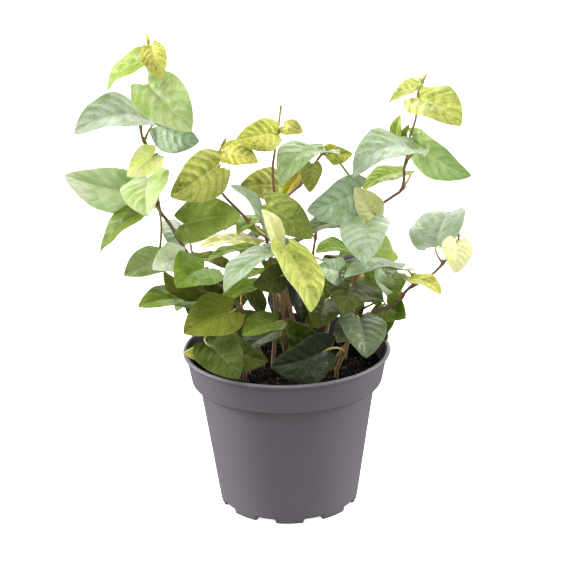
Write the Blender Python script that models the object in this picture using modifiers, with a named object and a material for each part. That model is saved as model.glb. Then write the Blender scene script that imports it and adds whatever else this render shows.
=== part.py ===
"""Creeping fig in a grey nursery pot.

The pot stands on its feet at z = 0, with its axis on Z and its front towards -Y.
It is filled with soil, and sixteen leafy stems stand in plain holes in that soil.
Every stem is one solid: the twig, its leaf stalks and its heart-shaped leaves.
Sizes and places are in millimetres and become metres where a mesh is made.
"""
import math
import random
from typing import NamedTuple

import bmesh
import bpy
from mathutils import Matrix, Quaternion, Vector
from mathutils.kdtree import KDTree

MM = 0.001

# Pot
POT_SIDES = 34
POT_HEIGHT = 93.2
RIM_RADIUS = 60.0
LIP_HEIGHT = 1.9
COLLAR_TOP_RADIUS = 58.2
COLLAR_FOOT_RADIUS = 55.1
COLLAR_FOOT_HEIGHT = 74.5
BODY_TOP_RADIUS = 51.1
BASE_RADIUS = 41.0
WALL = 1.4
BASE_UNDERSIDE = 1.6
BASE_TOP = 4.2
FOOT_COUNT = 9
FOOT_SPREAD = 22.0
FOOT_TURN = -90.0
NOTCH_HEIGHT = 2.6
NOTCH_INNER_RADIUS = 33.0
DRAIN_COUNT = 6
DRAIN_RADIUS = 4.0
DRAIN_RING_RADIUS = 24.0

# Soil
SOIL_SIDES = 24
SOIL_HEIGHT = 83.0
SOIL_EDGE_HEIGHT = 81.0
SOIL_CRUMB = 0.9
CLEARANCE = 0.3
HOLE_RADIUS = 2.2
ROOT_BOTTOM = 62.0
ROOT_TOP = 87.0

# Stems and leaf stalks
STEM_FOOT_RADIUS = 1.5
STEM_TIP_RADIUS = 0.75
STEM_STEP = 13.0
NODE_STEP = 3.0
STALK_WIDTH = 1.3
STALK_DROP = 5.0
BEND_PER_SPAN = 38.0
STALK_CHECKS = 8

# Leaf blades
BLADE_THICKNESS = 0.8
BLADE_ROWS = 4
BLADE_ROW_POWER = 1.05
LOBE_DEPTH = 0.16
LOBE_WIDTH = 0.62
WIDEST_AT = 0.30
FOLD = 0.20
ARCH = 0.08

# Leaves grown by rule where the stems are hidden
SEED = 1871
TRIES = 600
SHRINK = 0.4
BLADE_GAP = 2.7
STALK_GAP = 2.2
CHECK_ROWS = 14
CHECK_COLUMNS = 11

COLOURS = {
    "new": (0.68, 0.66, 0.10),
    "young": (0.62, 0.66, 0.22),
    "light": (0.36, 0.52, 0.14),
    "olive": (0.34, 0.38, 0.05),
    "green": (0.14, 0.28, 0.06),
    "grey": (0.24, 0.36, 0.20),
    "dark": (0.10, 0.15, 0.04),
    "moss": (0.15, 0.18, 0.03),
    "deep": (0.045, 0.07, 0.02),
    "copper": (0.52, 0.36, 0.08),
}


class Leaf(NamedTuple):
    """A blade from its base to its tip, turned about that line."""

    base: tuple
    tip: tuple
    turn: float
    width: float
    tone: str
    fold: float = FOLD
    arch: float = ARCH


# Each route starts at the soil and follows the stem to its tip.
ROUTES = {
    "left_tall": [(-14, -2, 87), (-20, -1, 103), (-30, -3, 125), (-45, -9, 141), (-54, -16, 156),
                  (-63, -19, 174), (-69, -20, 185), (-68, -21, 205), (-72, -21, 216), (-76, -20, 224),
                  (-76, -20, 234), (-71, -20, 253), (-70, -20, 264), (-70, -20, 274)],
    "left_low": [(-22, -14, 87), (-28, -16, 106), (-38, -16, 124), (-50, -14, 138), (-62, -13, 146),
                 (-71, -13, 150)],
    "centre_left": [(-8, -8, 87), (-6, -6, 115), (-8, -6, 145), (-11, -7, 163), (-18, -9, 170),
                    (-25, -12, 179), (-34, -17, 191), (-36, -20, 202), (-36, -20, 211), (-32, -20, 220)],
    "centre_up": [(2, 12, 87), (0, 14, 120), (-4, 12, 160), (-6, 8, 194), (-5, 6, 206), (-3, 5, 218),
                  (-1, 5, 232)],
    "centre_right": [(8, 0, 87), (4, -1, 110), (-2, -2, 140), (-6, -8, 175), (-2, -10, 183), (9, -11, 193),
                     (18, -11, 206), (24, -11, 212), (30, -10, 206), (37, -8, 196)],
    "right_tall": [(24, 6, 87), (34, 2, 115), (42, -4, 145), (48, -8, 170), (53, -8, 179), (61, -8, 185),
                   (66, -7, 189), (67, -6, 201), (69, -5, 207), (70, -4, 218), (73, -4, 227),
                   (75, -4, 244), (77, -4, 249)],
    "right_low": [(26, -12, 87), (36, -14, 102), (47, -14, 117), (59, -16, 123), (64, -17, 127),
                  (69, -18, 134), (81, -20, 142), (89, -21, 151), (95, -21, 159), (96, -21, 164)],
    "front_low": [(-24, -22, 87), (-30, -26, 100), (-33, -28, 112), (-32, -28, 126)],
    "front_centre": [(0, -20, 87), (-1, -24, 105), (-2, -28, 130), (-2, -32, 150), (-1, -38, 160),
                     (0, -46, 165)],
    "right_front": [(28, -22, 87), (36, -24, 110), (38, -22, 135), (42, -20, 155), (46, -18, 170)],
    "back_left": [(-20, 18, 87), (-27, 36, 106), (-36, 54, 110), (-42, 70, 102), (-44, 78, 90)],
    "back_middle": [(0, 30, 87), (-3, 46, 114), (-6, 64, 132), (-8, 82, 136), (-8, 94, 128)],
    "back_right": [(22, 20, 87), (30, 38, 112), (40, 56, 122), (46, 74, 118), (48, 88, 106)],
    "back_high": [(11, 18, 87), (14, 24, 120), (17, 29, 144), (20, 33, 160)],
    "side_left": [(-32, 4, 87), (-40, 16, 101), (-46, 28, 107), (-50, 40, 104)],
    "side_right": [(34, 6, 87), (40, 18, 103), (45, 30, 111), (48, 42, 108)],
}

# Leaves set by hand: those that show from the front, and those that fill the crown behind them.
LEAVES = {
    "left_tall": [
        Leaf((-72, -10, 265), (-97, 0, 246), 35, 0.62, "young"),
        Leaf((-68, -33, 274), (-62, -47, 261), -25, 0.72, "new"),
        Leaf((-70, -27, 275), (-69, -31, 282), -95, 0.45, "new"),
        Leaf((-71, -27, 253), (-48, -47, 233), -40, 0.78, "light"),
        Leaf((-74, -32, 237), (-108, -53, 235), 25, 0.74, "grey", 0.25, 0.14),
        Leaf((-67, -19, 230), (-45, -35, 224), -90, 0.85, "grey"),
        Leaf((-69, -30, 216), (-82, -45, 209), 55, 0.80, "new"),
        Leaf((-80, -9, 190), (-119, -22, 203), 100, 0.64, "light"),
        Leaf((-72, -30, 203), (-72, -61, 192), -20, 0.86, "light"),
        Leaf((-55, -20, 174), (-24, -31, 182), -55, 0.80, "dark"),
        Leaf((-58, 10, 164), (-61, -17, 159), 10, 0.88, "grey"),
        Leaf((-22, 14, 124), (-14, 4, 111), 10, 0.84, "dark"),
    ],
    "left_low": [
        Leaf((-76, -31, 185), (-103, -25, 160), 25, 0.62, "dark"),
        Leaf((-70, 1, 148), (-90, -15, 144), 40, 0.75, "light"),
        Leaf((-56, -25, 157), (-71, -44, 157), 45, 0.80, "grey"),
        Leaf((-44, -31, 152), (-57, -62, 153), 30, 0.86, "green"),
        Leaf((-49, -10, 125), (-82, -26, 130), 15, 0.74, "green"),
        Leaf((-44, -26, 135), (-66, -42, 153), 150, 0.60, "olive"),
        Leaf((-51, 10, 145), (-29, -1, 141), -5, 0.60, "olive"),
    ],
    "centre_left": [
        Leaf((-36, -30, 209), (-59, -52, 199), 70, 0.80, "olive"),
        Leaf((-33, -5, 211), (-14, -16, 208), -45, 0.72, "new"),
        Leaf((-19, -8, 171), (-26, -18, 168), 5, 0.80, "green"),
        Leaf((-11, -35, 175), (-27, -48, 204), 40, 0.50, "grey"),
    ],
    "centre_up": [
        Leaf((-5, -1, 220), (-25, -15, 220), 75, 0.78, "new"),
        Leaf((1, 9, 221), (11, 1, 220), -45, 0.84, "new"),
        Leaf((-2, 25, 183), (-25, 12, 186), 60, 0.78, "olive"),
        Leaf((-16, 25, 147), (-49, 13, 152), 10, 0.55, "young"),
        Leaf((-13, 5, 150), (-44, -7, 150), 0, 0.50, "young"),
        Leaf((-10, 18, 139), (-1, 8, 125), 5, 0.80, "green"),
        Leaf((6, 15, 129), (10, 9, 107), 0, 0.80, "deep"),
        Leaf((-6, 22, 117), (-1, 14, 101), 0, 0.84, "deep"),
    ],
    "centre_right": [
        Leaf((22, -25, 214), (-2, -49, 204), 5, 0.80, "grey", FOLD, 0.24),
        Leaf((9, -2, 198), (-1, 1, 181), 85, 0.40, "copper"),
        Leaf((25, -14, 212), (37, -24, 213), -100, 0.80, "new"),
        Leaf((16, -15, 205), (14, -26, 193), 0, 0.75, "olive"),
        Leaf((-10, -13, 182), (15, -26, 167), -45, 0.70, "green"),
        Leaf((41, -12, 189), (13, -30, 183), 90, 0.80, "grey"),
    ],
    "right_tall": [
        Leaf((74, -19, 241), (93, -46, 234), -25, 0.80, "light"),
        Leaf((75, 11, 242), (60, 24, 231), 35, 0.68, "new"),
        Leaf((76, -9, 247), (75, -11, 255), -105, 0.40, "new"),
        Leaf((77, 2, 245), (80, -2, 252), -55, 0.40, "new"),
        Leaf((74, 3, 213), (101, -23, 199), -95, 0.60, "light"),
        Leaf((63, 6, 213), (65, 4, 228), -95, 0.55, "green"),
        Leaf((67, 5, 213), (70, 2, 223), -90, 0.45, "green"),
        Leaf((70, -17, 213), (37, -36, 205), 15, 0.80, "grey", FOLD, 0.22),
        Leaf((68, 15, 192), (44, -2, 188), 10, 0.60, "green"),
        Leaf((50, -13, 176), (39, -20, 193), 105, 0.75, "young"),
        Leaf((34, 6, 166), (10, -8, 163), 5, 0.75, "dark"),
        Leaf((40, 16, 141), (26, 8, 138), 0, 0.70, "deep"),
        Leaf((57, 15, 134), (62, 6, 119), -10, 0.84, "grey"),
    ],
    "right_low": [
        Leaf((84, -17, 158), (97, 16, 170), 15, 0.90, "grey", 0.30),
        Leaf((94, -30, 164), (92, -46, 152), 10, 0.86, "new"),
        Leaf((69, -34, 145), (84, -50, 142), -5, 0.65, "new"),
        Leaf((59, -17, 140), (62, -34, 137), -10, 0.90, "green"),
        Leaf((58, -1, 118), (66, -24, 119), -50, 0.85, "green"),
        Leaf((64, -27, 148), (32, -46, 152), 0, 0.62, "grey"),
    ],
    "front_low": [
        Leaf((-30, -41, 130), (-55, -58, 125), 40, 0.88, "olive"),
        Leaf((-43, -46, 113), (-26, -63, 100), -25, 0.95, "dark"),
        Leaf((-46, -42, 108), (-56, -48, 109), 90, 0.70, "new"),
        Leaf((-33, -33, 108), (-11, -48, 103), -90, 0.75, "dark"),
    ],
    "front_centre": [
        Leaf((0, -54, 169), (14, -80, 144), 15, 0.72, "olive"),
        Leaf((-4, -42, 168), (-11, -49, 190), 85, 0.55, "young"),
        Leaf((-6, -37, 163), (-33, -61, 150), -5, 0.64, "grey"),
        Leaf((-17, -13, 136), (-36, -24, 129), 5, 0.75, "green"),
        Leaf((-2, -37, 149), (-17, -50, 148), 75, 0.80, "dark"),
        Leaf((-5, -34, 121), (-24, -47, 119), 20, 0.80, "green"),
        Leaf((-9, -21, 109), (-25, -37, 103), 5, 0.75, "grey"),
        Leaf((-1, -17, 109), (23, -29, 106), -100, 0.90, "dark"),
    ],
    "right_front": [
        Leaf((45, -31, 176), (42, -61, 164), -10, 0.86, "light"),
        Leaf((51, -10, 154), (63, 7, 148), -50, 0.85, "green"),
        Leaf((37, -24, 158), (17, -40, 164), 15, 0.70, "green"),
        Leaf((30, -36, 150), (18, -52, 159), 90, 0.70, "grey"),
        Leaf((36, -26, 139), (31, -57, 134), 15, 0.80, "dark"),
        Leaf((22, -26, 130), (17, -55, 126), 15, 0.80, "dark"),
        Leaf((40, -34, 122), (43, -60, 110), 10, 0.95, "grey"),
        Leaf((38, -30, 116), (28, -47, 114), 20, 0.86, "grey"),
        Leaf((22, -36, 105), (-8, -51, 101), 95, 0.86, "dark"),
    ],
    "back_high": [
        Leaf((17, 16, 133), (23, 6, 118), 0, 0.84, "moss"),
        Leaf((20, 20, 116), (15, 12, 100), 0, 0.86, "moss"),
        Leaf((22, 6, 143), (34, -2, 137), 10, 0.70, "grey"),
    ],
    "side_right": [
        Leaf((44, 15, 128), (38, 4, 111), 5, 0.84, "moss"),
        Leaf((38, 22, 116), (38, 14, 99), 0, 0.86, "deep"),
        Leaf((58, 14, 111), (54, 4, 95), 0, 0.84, "green"),
    ],
    "side_left": [
        Leaf((-34, 14, 119), (-28, 6, 107), 0, 0.84, "dark"),
        Leaf((-46, 8, 110), (-38, 0, 100), 0, 0.84, "green"),
    ],
}

# Leaves grown by rule: how many, and the stretch of the stem that bears them.
GROWN = {
    "back_left": (9, 0.25, 1.0),
    "back_middle": (9, 0.25, 1.0),
    "back_right": (9, 0.25, 1.0),
    "back_high": (4, 0.25, 1.0),
    "side_left": (6, 0.25, 1.0),
    "side_right": (6, 0.25, 1.0),
    "centre_up": (2, 0.15, 0.50),
    "right_tall": (1, 0.10, 0.35),
}

# The crown's limits: sideways, and along the sight line that falls away to the back.
SIGHT_SLOPE = 0.34
CROWN_TOP = 176.0
CROWN_LEFT = -65.0
CROWN_RIGHT = 61.0
CROWN_BOTTOM = 70.0
HIDDEN_BEHIND = 30.0
GAPS = [(-55.0, -29.0, 141.0, 162.0), (13.0, 33.0, 151.0, 164.0)]
MOUTH_RADIUS = 50.0
SOIL_CLEAR_HEIGHT = 86.0
RIM_CLEAR_RADIUS = 64.0
RIM_CLEAR_HEIGHT = 97.0


def make_material(name, colour, roughness, metallic=0.0):
    """Return a Principled BSDF material."""
    material = bpy.data.materials.new(name)
    material.use_nodes = True
    shader = material.node_tree.nodes["Principled BSDF"]
    shader.inputs["Base Color"].default_value = (*colour, 1.0)
    shader.inputs["Roughness"].default_value = roughness
    shader.inputs["Metallic"].default_value = metallic
    material.diffuse_color = (*colour, 1.0)
    return material


def new_object(name, mesh, collection, material=None):
    """Put a mesh in the scene as a named object."""
    thing = bpy.data.objects.new(name, mesh)
    collection.objects.link(thing)
    if material is not None:
        mesh.materials.append(material)
    return thing


def mesh_from(bm, name):
    """Turn a bmesh into mesh data, scaled from millimetres to metres."""
    bmesh.ops.scale(bm, vec=(MM, MM, MM), verts=bm.verts)
    mesh = bpy.data.meshes.new(name)
    bm.to_mesh(mesh)
    bm.free()
    return mesh


def apply_modifiers(thing):
    """Replace an object's mesh with its evaluated mesh."""
    bpy.context.view_layer.update()
    evaluated = thing.evaluated_get(bpy.context.evaluated_depsgraph_get())
    mesh = bpy.data.meshes.new_from_object(evaluated)
    old = thing.data
    thing.modifiers.clear()
    thing.data = mesh
    bpy.data.meshes.remove(old)


def make_cutter(name, bm, collection):
    """Keep a closed bmesh as a hidden cutting tool."""
    cutter = new_object(name, mesh_from(bm, name), collection)
    cutter.hide_render = True
    cutter.display_type = "WIRE"
    return cutter


def cut(thing, cutter):
    """Take the cutter's shape out of an object."""
    difference = thing.modifiers.new(cutter.name, "BOOLEAN")
    difference.operation = "DIFFERENCE"
    difference.object = cutter


def turned(name, profile, steps, collection, material):
    """Turn a profile of (radius, height) points about Z."""
    bm = bmesh.new()
    points = [bm.verts.new((radius, 0, height)) for radius, height in profile]
    for start, end in zip(points, points[1:]):
        bm.edges.new((start, end))
    thing = new_object(name, mesh_from(bm, name), collection, material)
    screw = thing.modifiers.new("turn", "SCREW")
    screw.steps = steps
    screw.render_steps = steps
    screw.use_merge_vertices = True
    screw.merge_threshold = 0.00001
    return thing


def wall_radius(height):
    """The outer radius of the pot's body at a height."""
    rise = (height - BASE_TOP) / (COLLAR_FOOT_HEIGHT - BASE_TOP)
    return BASE_RADIUS + (BODY_TOP_RADIUS - BASE_RADIUS) * rise


def build_pot(collection, cutters):
    """The pot: body, collar, rolled lip, feet and drain holes."""
    lip_foot = POT_HEIGHT - LIP_HEIGHT
    profile = [
        (0, BASE_TOP),
        (BASE_RADIUS - 3.0, BASE_TOP),
        (wall_radius(BASE_TOP + 2.0) - WALL, BASE_TOP + 2.0),
        (BODY_TOP_RADIUS - WALL, COLLAR_FOOT_HEIGHT),
        (COLLAR_FOOT_RADIUS - WALL, COLLAR_FOOT_HEIGHT + WALL),
        (COLLAR_TOP_RADIUS - WALL, lip_foot),
        (COLLAR_TOP_RADIUS - 0.6, POT_HEIGHT - 0.4),
        (COLLAR_TOP_RADIUS + 0.4, POT_HEIGHT),
        (RIM_RADIUS - 0.5, POT_HEIGHT - 0.2),
        (RIM_RADIUS, POT_HEIGHT - 0.8),
        (RIM_RADIUS - 0.3, lip_foot),
        (COLLAR_TOP_RADIUS, lip_foot - 0.2),
        (COLLAR_FOOT_RADIUS, COLLAR_FOOT_HEIGHT + 0.4),
        (COLLAR_FOOT_RADIUS - 0.4, COLLAR_FOOT_HEIGHT),
        (BODY_TOP_RADIUS, COLLAR_FOOT_HEIGHT - 0.6),
        (BASE_RADIUS, BASE_TOP),
        (BASE_RADIUS - 0.7, 0),
        (BASE_RADIUS - 4.2, 0),
        (BASE_RADIUS - 4.8, BASE_UNDERSIDE),
        (0, BASE_UNDERSIDE),
    ]
    plastic = make_material("grey_plastic", (0.105, 0.100, 0.103), 0.42)
    pot = turned("pot", profile, POT_SIDES, collection, plastic)
    notches = bmesh.new()
    spacing = 360.0 / FOOT_COUNT
    width = 2 * BASE_RADIUS * math.sin(math.radians(spacing - FOOT_SPREAD) / 2)
    length = BASE_RADIUS + 3.0 - NOTCH_INNER_RADIUS
    for number in range(FOOT_COUNT):
        turn = Matrix.Rotation(math.radians(FOOT_TURN + spacing * (number + 0.5)), 4, "Z")
        place = Matrix.Translation((NOTCH_INNER_RADIUS + length / 2, 0, 0))
        size = Matrix.Diagonal((length, width, 2 * NOTCH_HEIGHT, 1))
        bmesh.ops.create_cube(notches, size=1, matrix=turn @ place @ size)
    cut(pot, make_cutter("foot_notches", notches, cutters))
    drains = bmesh.new()
    for number in range(DRAIN_COUNT):
        turn = Matrix.Rotation(math.radians(360.0 / DRAIN_COUNT * number), 4, "Z")
        place = Matrix.Translation((DRAIN_RING_RADIUS, 0, BASE_TOP / 2))
        bmesh.ops.create_cone(drains, cap_ends=True, segments=8, radius1=DRAIN_RADIUS,
                              radius2=DRAIN_RADIUS, depth=2 * BASE_TOP, matrix=turn @ place)
    cut(pot, make_cutter("drain_holes", drains, cutters))
    return pot


def crumb(x, y):
    """How far the soil stands up or down at a place."""
    return SOIL_CRUMB * (math.sin(0.31 * x + 1.7) * math.cos(0.27 * y) + 0.6 * math.sin(0.53 * y - 0.41 * x))


def build_soil(collection, cutters):
    """The soil: it fills the pot and has a hole for every stem."""
    edge = COLLAR_FOOT_RADIUS + (SOIL_EDGE_HEIGHT - COLLAR_FOOT_HEIGHT) * 0.17 - WALL - 1.0
    profile = [
        (0, SOIL_HEIGHT),
        (14, SOIL_HEIGHT - 0.2),
        (28, SOIL_HEIGHT - 0.6),
        (41, SOIL_HEIGHT - 1.2),
        (edge, SOIL_EDGE_HEIGHT),
        (COLLAR_FOOT_RADIUS - WALL - 0.8, COLLAR_FOOT_HEIGHT + WALL + 0.6),
        (BODY_TOP_RADIUS - WALL - 0.5, COLLAR_FOOT_HEIGHT + 0.4),
        (wall_radius(BASE_TOP + 3.0) - WALL - 0.6, BASE_TOP + 3.0),
        (BASE_RADIUS - 4.0, BASE_TOP + CLEARANCE),
        (0, BASE_TOP + CLEARANCE),
    ]
    peat = make_material("soil", (0.022, 0.015, 0.012), 0.95)
    soil = turned("soil", profile, SOIL_SIDES, collection, peat)
    apply_modifiers(soil)
    for vertex in soil.data.vertices:
        x, y, z = vertex.co / MM
        if z > SOIL_EDGE_HEIGHT - 0.5:
            vertex.co.z += crumb(x, y) * MM
    holes = bmesh.new()
    for route in ROUTES.values():
        x, y, _ = route[0]
        depth = ROOT_TOP + 3.0 - ROOT_BOTTOM
        place = Matrix.Translation((x, y, ROOT_BOTTOM - CLEARANCE + depth / 2))
        bmesh.ops.create_cone(holes, cap_ends=True, segments=8, radius1=HOLE_RADIUS,
                              radius2=HOLE_RADIUS, depth=depth, matrix=place)
    cut(soil, make_cutter("stem_holes", holes, cutters))
    return soil


def smooth_path(points, step):
    """Points about a step apart on the smooth curve through the given points."""
    ends = [2 * points[0] - points[1]] + points + [2 * points[-1] - points[-2]]
    path = []
    for before, start, end, after in zip(ends, ends[1:], ends[2:], ends[3:]):
        count = max(1, round((end - start).length / step))
        for number in range(count):
            t = number / count
            path.append(0.5 * (2 * start + (end - before) * t
                               + (2 * before - 5 * start + 4 * end - after) * t * t
                               + (after - before + 3 * (start - end)) * t ** 3))
    path.append(points[-1])
    return path


def stem_path(name):
    """A stem's path: straight in its hole, then along its route."""
    route = [Vector(point) for point in ROUTES[name]]
    foot = Vector((route[0].x, route[0].y, ROOT_BOTTOM))
    return [foot] + smooth_path(route, STEM_STEP)


def leaf_nodes(path):
    """Points close together along a stem above the soil, where a stalk can leave it."""
    nodes = []
    for start, end in zip(path[1:], path[2:]):
        count = math.ceil((end - start).length / NODE_STEP)
        nodes += [start.lerp(end, number / count) for number in range(count)]
    return nodes[1:] + [path[-1]]


def blade_half_width(s):
    """The outline's half width, as a share of the greatest one, from base 0 to tip 1."""
    if s < WIDEST_AT:
        return LOBE_WIDTH + (1 - LOBE_WIDTH) * math.sin(math.pi / 2 * s / WIDEST_AT) ** 0.8
    t = (s - WIDEST_AT) / (1 - WIDEST_AT)
    return max(0.0, 1 - t) ** 0.78 * (1 + 0.68 * t)


class Blade:
    """The surface of one leaf and the route of its stalk from a stem's nodes."""

    def __init__(self, leaf, nodes):
        self.leaf = leaf
        self.base = Vector(leaf.base)
        run = Vector(leaf.tip) - self.base
        self.length = run.length
        self.axis = run.normalized()
        upward = (Vector((0, 0, 1)) - self.axis.z * self.axis).normalized()
        self.face = Quaternion(self.axis, math.radians(-leaf.turn)) @ upward
        self.across = self.face.cross(self.axis)
        wanted = self.base - Vector((0, 0, STALK_DROP))
        self.foot = min(nodes, key=lambda node: (node - wanted).length)

    def point(self, s, v):
        """The point at s along the blade and v across it, from -1 to 1."""
        leaf = self.leaf
        side = v * leaf.width * self.length / 2 * blade_half_width(s)
        lobe = LOBE_DEPTH * math.sin(0.8 * math.pi * abs(v) ** 1.2) * (1 - s) ** 3
        along = self.length * (s - lobe)
        t = min(max(along / self.length, 0.0), 1.0)
        lift = leaf.fold * abs(side) + leaf.arch * self.length * 4 * t * (1 - t)
        return self.base + along * self.axis + side * self.across + lift * self.face

    def check_points(self):
        """Points spread over the blade, for keeping leaves apart."""
        columns = [2 * column / (CHECK_COLUMNS - 1) - 1 for column in range(CHECK_COLUMNS)]
        return [self.point(row / CHECK_ROWS, v) for row in range(CHECK_ROWS + 1) for v in columns]

    def stalk(self, count=None):
        """The stalk's points: from the stem, in a curve, to the blade's base."""
        run = self.base - self.foot
        bend = self.base - 0.5 * run.length * self.axis
        if count is None:
            count = 3 + int(math.degrees(run.angle(self.axis)) / BEND_PER_SPAN)
        curve = []
        for number in range(count):
            t = number / (count - 1)
            curve.append((1 - t) ** 2 * self.foot + 2 * t * (1 - t) * bend + t * t * self.base)
        return curve


class Crown:
    """Keeps the points of what has grown, and says whether a new leaf is clear of it."""

    def __init__(self):
        self.points = []
        self.tree = None

    def add(self, points):
        """Keep a grown piece's points."""
        self.points.extend(points)
        self.tree = KDTree(len(self.points))
        for number, point in enumerate(self.points):
            self.tree.insert(point, number)
        self.tree.balance()

    def clear(self, points, gap):
        """Whether every point is further than the gap from what has grown."""
        return all(self.tree.find(point)[2] > gap for point in points)


def in_bounds(point):
    """Whether a grown leaf may reach a point: clear of the pot, and hidden or among the crown."""
    radius = math.hypot(point.x, point.y)
    sight = point.z + SIGHT_SLOPE * point.y
    if radius < MOUTH_RADIUS:
        lowest = SOIL_CLEAR_HEIGHT
    elif radius < RIM_CLEAR_RADIUS or point.y < HIDDEN_BEHIND:
        lowest = RIM_CLEAR_HEIGHT
    else:
        lowest = CROWN_BOTTOM
    if point.z < lowest or sight > CROWN_TOP or not CROWN_LEFT < point.x < CROWN_RIGHT:
        return False
    return not any(left < point.x < right and low < sight < high for left, right, low, high in GAPS)


def draw_leaf(rng, nodes, at, size):
    """Draw one leaf, of a relative size, that could grow from a place on a stem."""
    node = nodes[int(at * (len(nodes) - 1))]
    outward = math.atan2(node.y + 20, node.x)
    heading = outward + rng.uniform(-2.0, 2.0)
    rise = rng.uniform(-1.1, 0.3)
    stalk = rng.uniform(6.0, 16.0)
    length = size * rng.uniform(26.0, 36.0)
    away = Vector((math.cos(heading), math.sin(heading), 0))
    base = node + stalk * (away * 0.8 + Vector((0, 0, 0.6)))
    tip = base + length * (away * math.cos(rise) + Vector((0, 0, math.sin(rise))))
    tone = rng.choice(("green", "grey", "dark", "moss", "deep", "green"))
    return Leaf(tuple(base), tuple(tip), rng.uniform(-30, 30), rng.uniform(0.76, 0.88), tone)


def grow_leaves():
    """The blades of every stem: those set by hand and those grown by rule."""
    rng = random.Random(SEED)
    stems, foliage = Crown(), Crown()
    blades = {name: [] for name in ROUTES}
    nodes = {name: leaf_nodes(stem_path(name)) for name in ROUTES}
    stems.add([node for free in nodes.values() for node in free])
    for name, free in nodes.items():
        for leaf in LEAVES.get(name, []):
            blade = Blade(leaf, free)
            free.remove(blade.foot)
            blades[name].append(blade)
            foliage.add(blade.check_points() + blade.stalk(STALK_CHECKS)[1:])
    for name, (count, first, last) in GROWN.items():
        for number in range(count):
            for attempt in range(TRIES):
                at = first + (last - first) * (number + rng.random()) / count
                size = 1.0 - SHRINK * attempt / TRIES
                blade = Blade(draw_leaf(rng, nodes[name], at, size), nodes[name])
                spread = blade.check_points()
                if not all(in_bounds(point) for point in spread):
                    continue
                stalk = blade.stalk(STALK_CHECKS)
                if (stems.clear(spread, BLADE_GAP) and foliage.clear(spread, BLADE_GAP)
                        and stems.clear(stalk[3:], STALK_GAP) and foliage.clear(stalk[1:], STALK_GAP)):
                    nodes[name].remove(blade.foot)
                    blades[name].append(blade)
                    foliage.add(spread + stalk[1:])
                    break
    return blades


def tube(name, points, radii, collection):
    """A tapering tube through the points, as a closed mesh."""
    curve = bpy.data.curves.new(name, "CURVE")
    curve.dimensions = "3D"
    curve.bevel_depth = MM
    curve.bevel_resolution = 1
    curve.use_fill_caps = True
    spline = curve.splines.new("POLY")
    spline.points.add(len(points) - 1)
    for target, point, radius in zip(spline.points, points, radii):
        target.co = (*(point * MM), 1.0)
        target.radius = radius
    guide = bpy.data.objects.new(name, curve)
    collection.objects.link(guide)
    bpy.context.view_layer.update()
    evaluated = guide.evaluated_get(bpy.context.evaluated_depsgraph_get())
    mesh = bpy.data.meshes.new_from_object(evaluated)
    bpy.data.objects.remove(guide)
    bm = bmesh.new()
    bm.from_mesh(mesh)
    bmesh.ops.remove_doubles(bm, verts=bm.verts, dist=0.000001)
    bm.to_mesh(mesh)
    bm.free()
    return new_object(name, mesh, collection)


def leaf_object(name, blade, collection, material):
    """One leaf: a grid bent to the blade's form, its stalk drawn out of the base, made thick."""
    bm = bmesh.new()
    bmesh.ops.create_grid(bm, x_segments=3, y_segments=BLADE_ROWS, size=1)
    for vertex in bm.verts:
        s = ((vertex.co.y + 1) / 2) ** BLADE_ROW_POWER
        rib = min(0.3, STALK_WIDTH / (blade.leaf.width * blade.length * max(blade_half_width(s), 0.1)))
        side = math.copysign(1.0, vertex.co.x)
        vertex.co = blade.point(s, side if abs(vertex.co.x) > 0.5 else side * rib)
    edge = min(bm.edges, key=lambda one: sum((vertex.co - blade.base).length for vertex in one.verts))
    points = blade.stalk()[::-1]
    heading, side = -blade.axis, blade.across
    for start, end in zip(points, points[1:]):
        turn = heading.rotation_difference(end - start)
        heading, side = turn @ heading, turn @ side
        grown = bmesh.ops.extrude_edge_only(bm, edges=[edge])["geom"]
        edge = bm.edges.get([piece for piece in grown if isinstance(piece, bmesh.types.BMVert)])
        middle = (edge.verts[0].co + edge.verts[1].co) / 2
        for vertex in edge.verts:
            half = math.copysign(STALK_WIDTH / 2, (vertex.co - middle).dot(side))
            vertex.co = end + half * side
    bmesh.ops.remove_doubles(bm, verts=bm.verts, dist=0.01)
    bmesh.ops.triangulate(bm, faces=bm.faces)
    thing = new_object(name, mesh_from(bm, name), collection, material)
    thickness = thing.modifiers.new("thickness", "SOLIDIFY")
    thickness.thickness = BLADE_THICKNESS * MM
    thickness.offset = 0
    apply_modifiers(thing)
    return thing


def build_stem(name, blades, collection, greens, bark):
    """One leafy stem: the twig with its stalks and blades joined to it."""
    path = stem_path(name)
    last = len(path) - 1
    radii = [STEM_FOOT_RADIUS + (STEM_TIP_RADIUS - STEM_FOOT_RADIUS) * number / last
             for number in range(len(path))]
    stem = tube("leafy_stem_" + name, path, radii, collection)
    stem.data.materials.append(bark)
    parts = bpy.data.collections.new(name + "_leaves")
    bpy.context.scene.collection.children.link(parts)
    for number, blade in enumerate(blades):
        leaf_object(f"{name}_leaf_{number}", blade, parts, greens[blade.leaf.tone])
    union = stem.modifiers.new("join", "BOOLEAN")
    union.operation = "UNION"
    union.operand_type = "COLLECTION"
    union.collection = parts
    apply_modifiers(stem)
    for thing in list(parts.objects):
        bpy.data.objects.remove(thing)
    bpy.data.collections.remove(parts)
    return stem


def main():
    """Build the whole plant in its pot."""
    for thing in list(bpy.data.objects):
        bpy.data.objects.remove(thing)
    plant = bpy.data.collections.new("creeping_fig")
    cutters = bpy.data.collections.new("cutters")
    bpy.context.scene.collection.children.link(plant)
    bpy.context.scene.collection.children.link(cutters)
    pot = build_pot(plant, cutters)
    build_soil(plant, cutters)
    greens = {tone: make_material("leaf_" + tone, colour, 0.45) for tone, colour in COLOURS.items()}
    bark = make_material("stem_bark", (0.12, 0.075, 0.035), 0.7)
    for name, blades in grow_leaves().items():
        build_stem(name, blades, plant, greens, bark)
    bpy.context.view_layer.update()
    pot.data.shade_smooth()


main()
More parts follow.
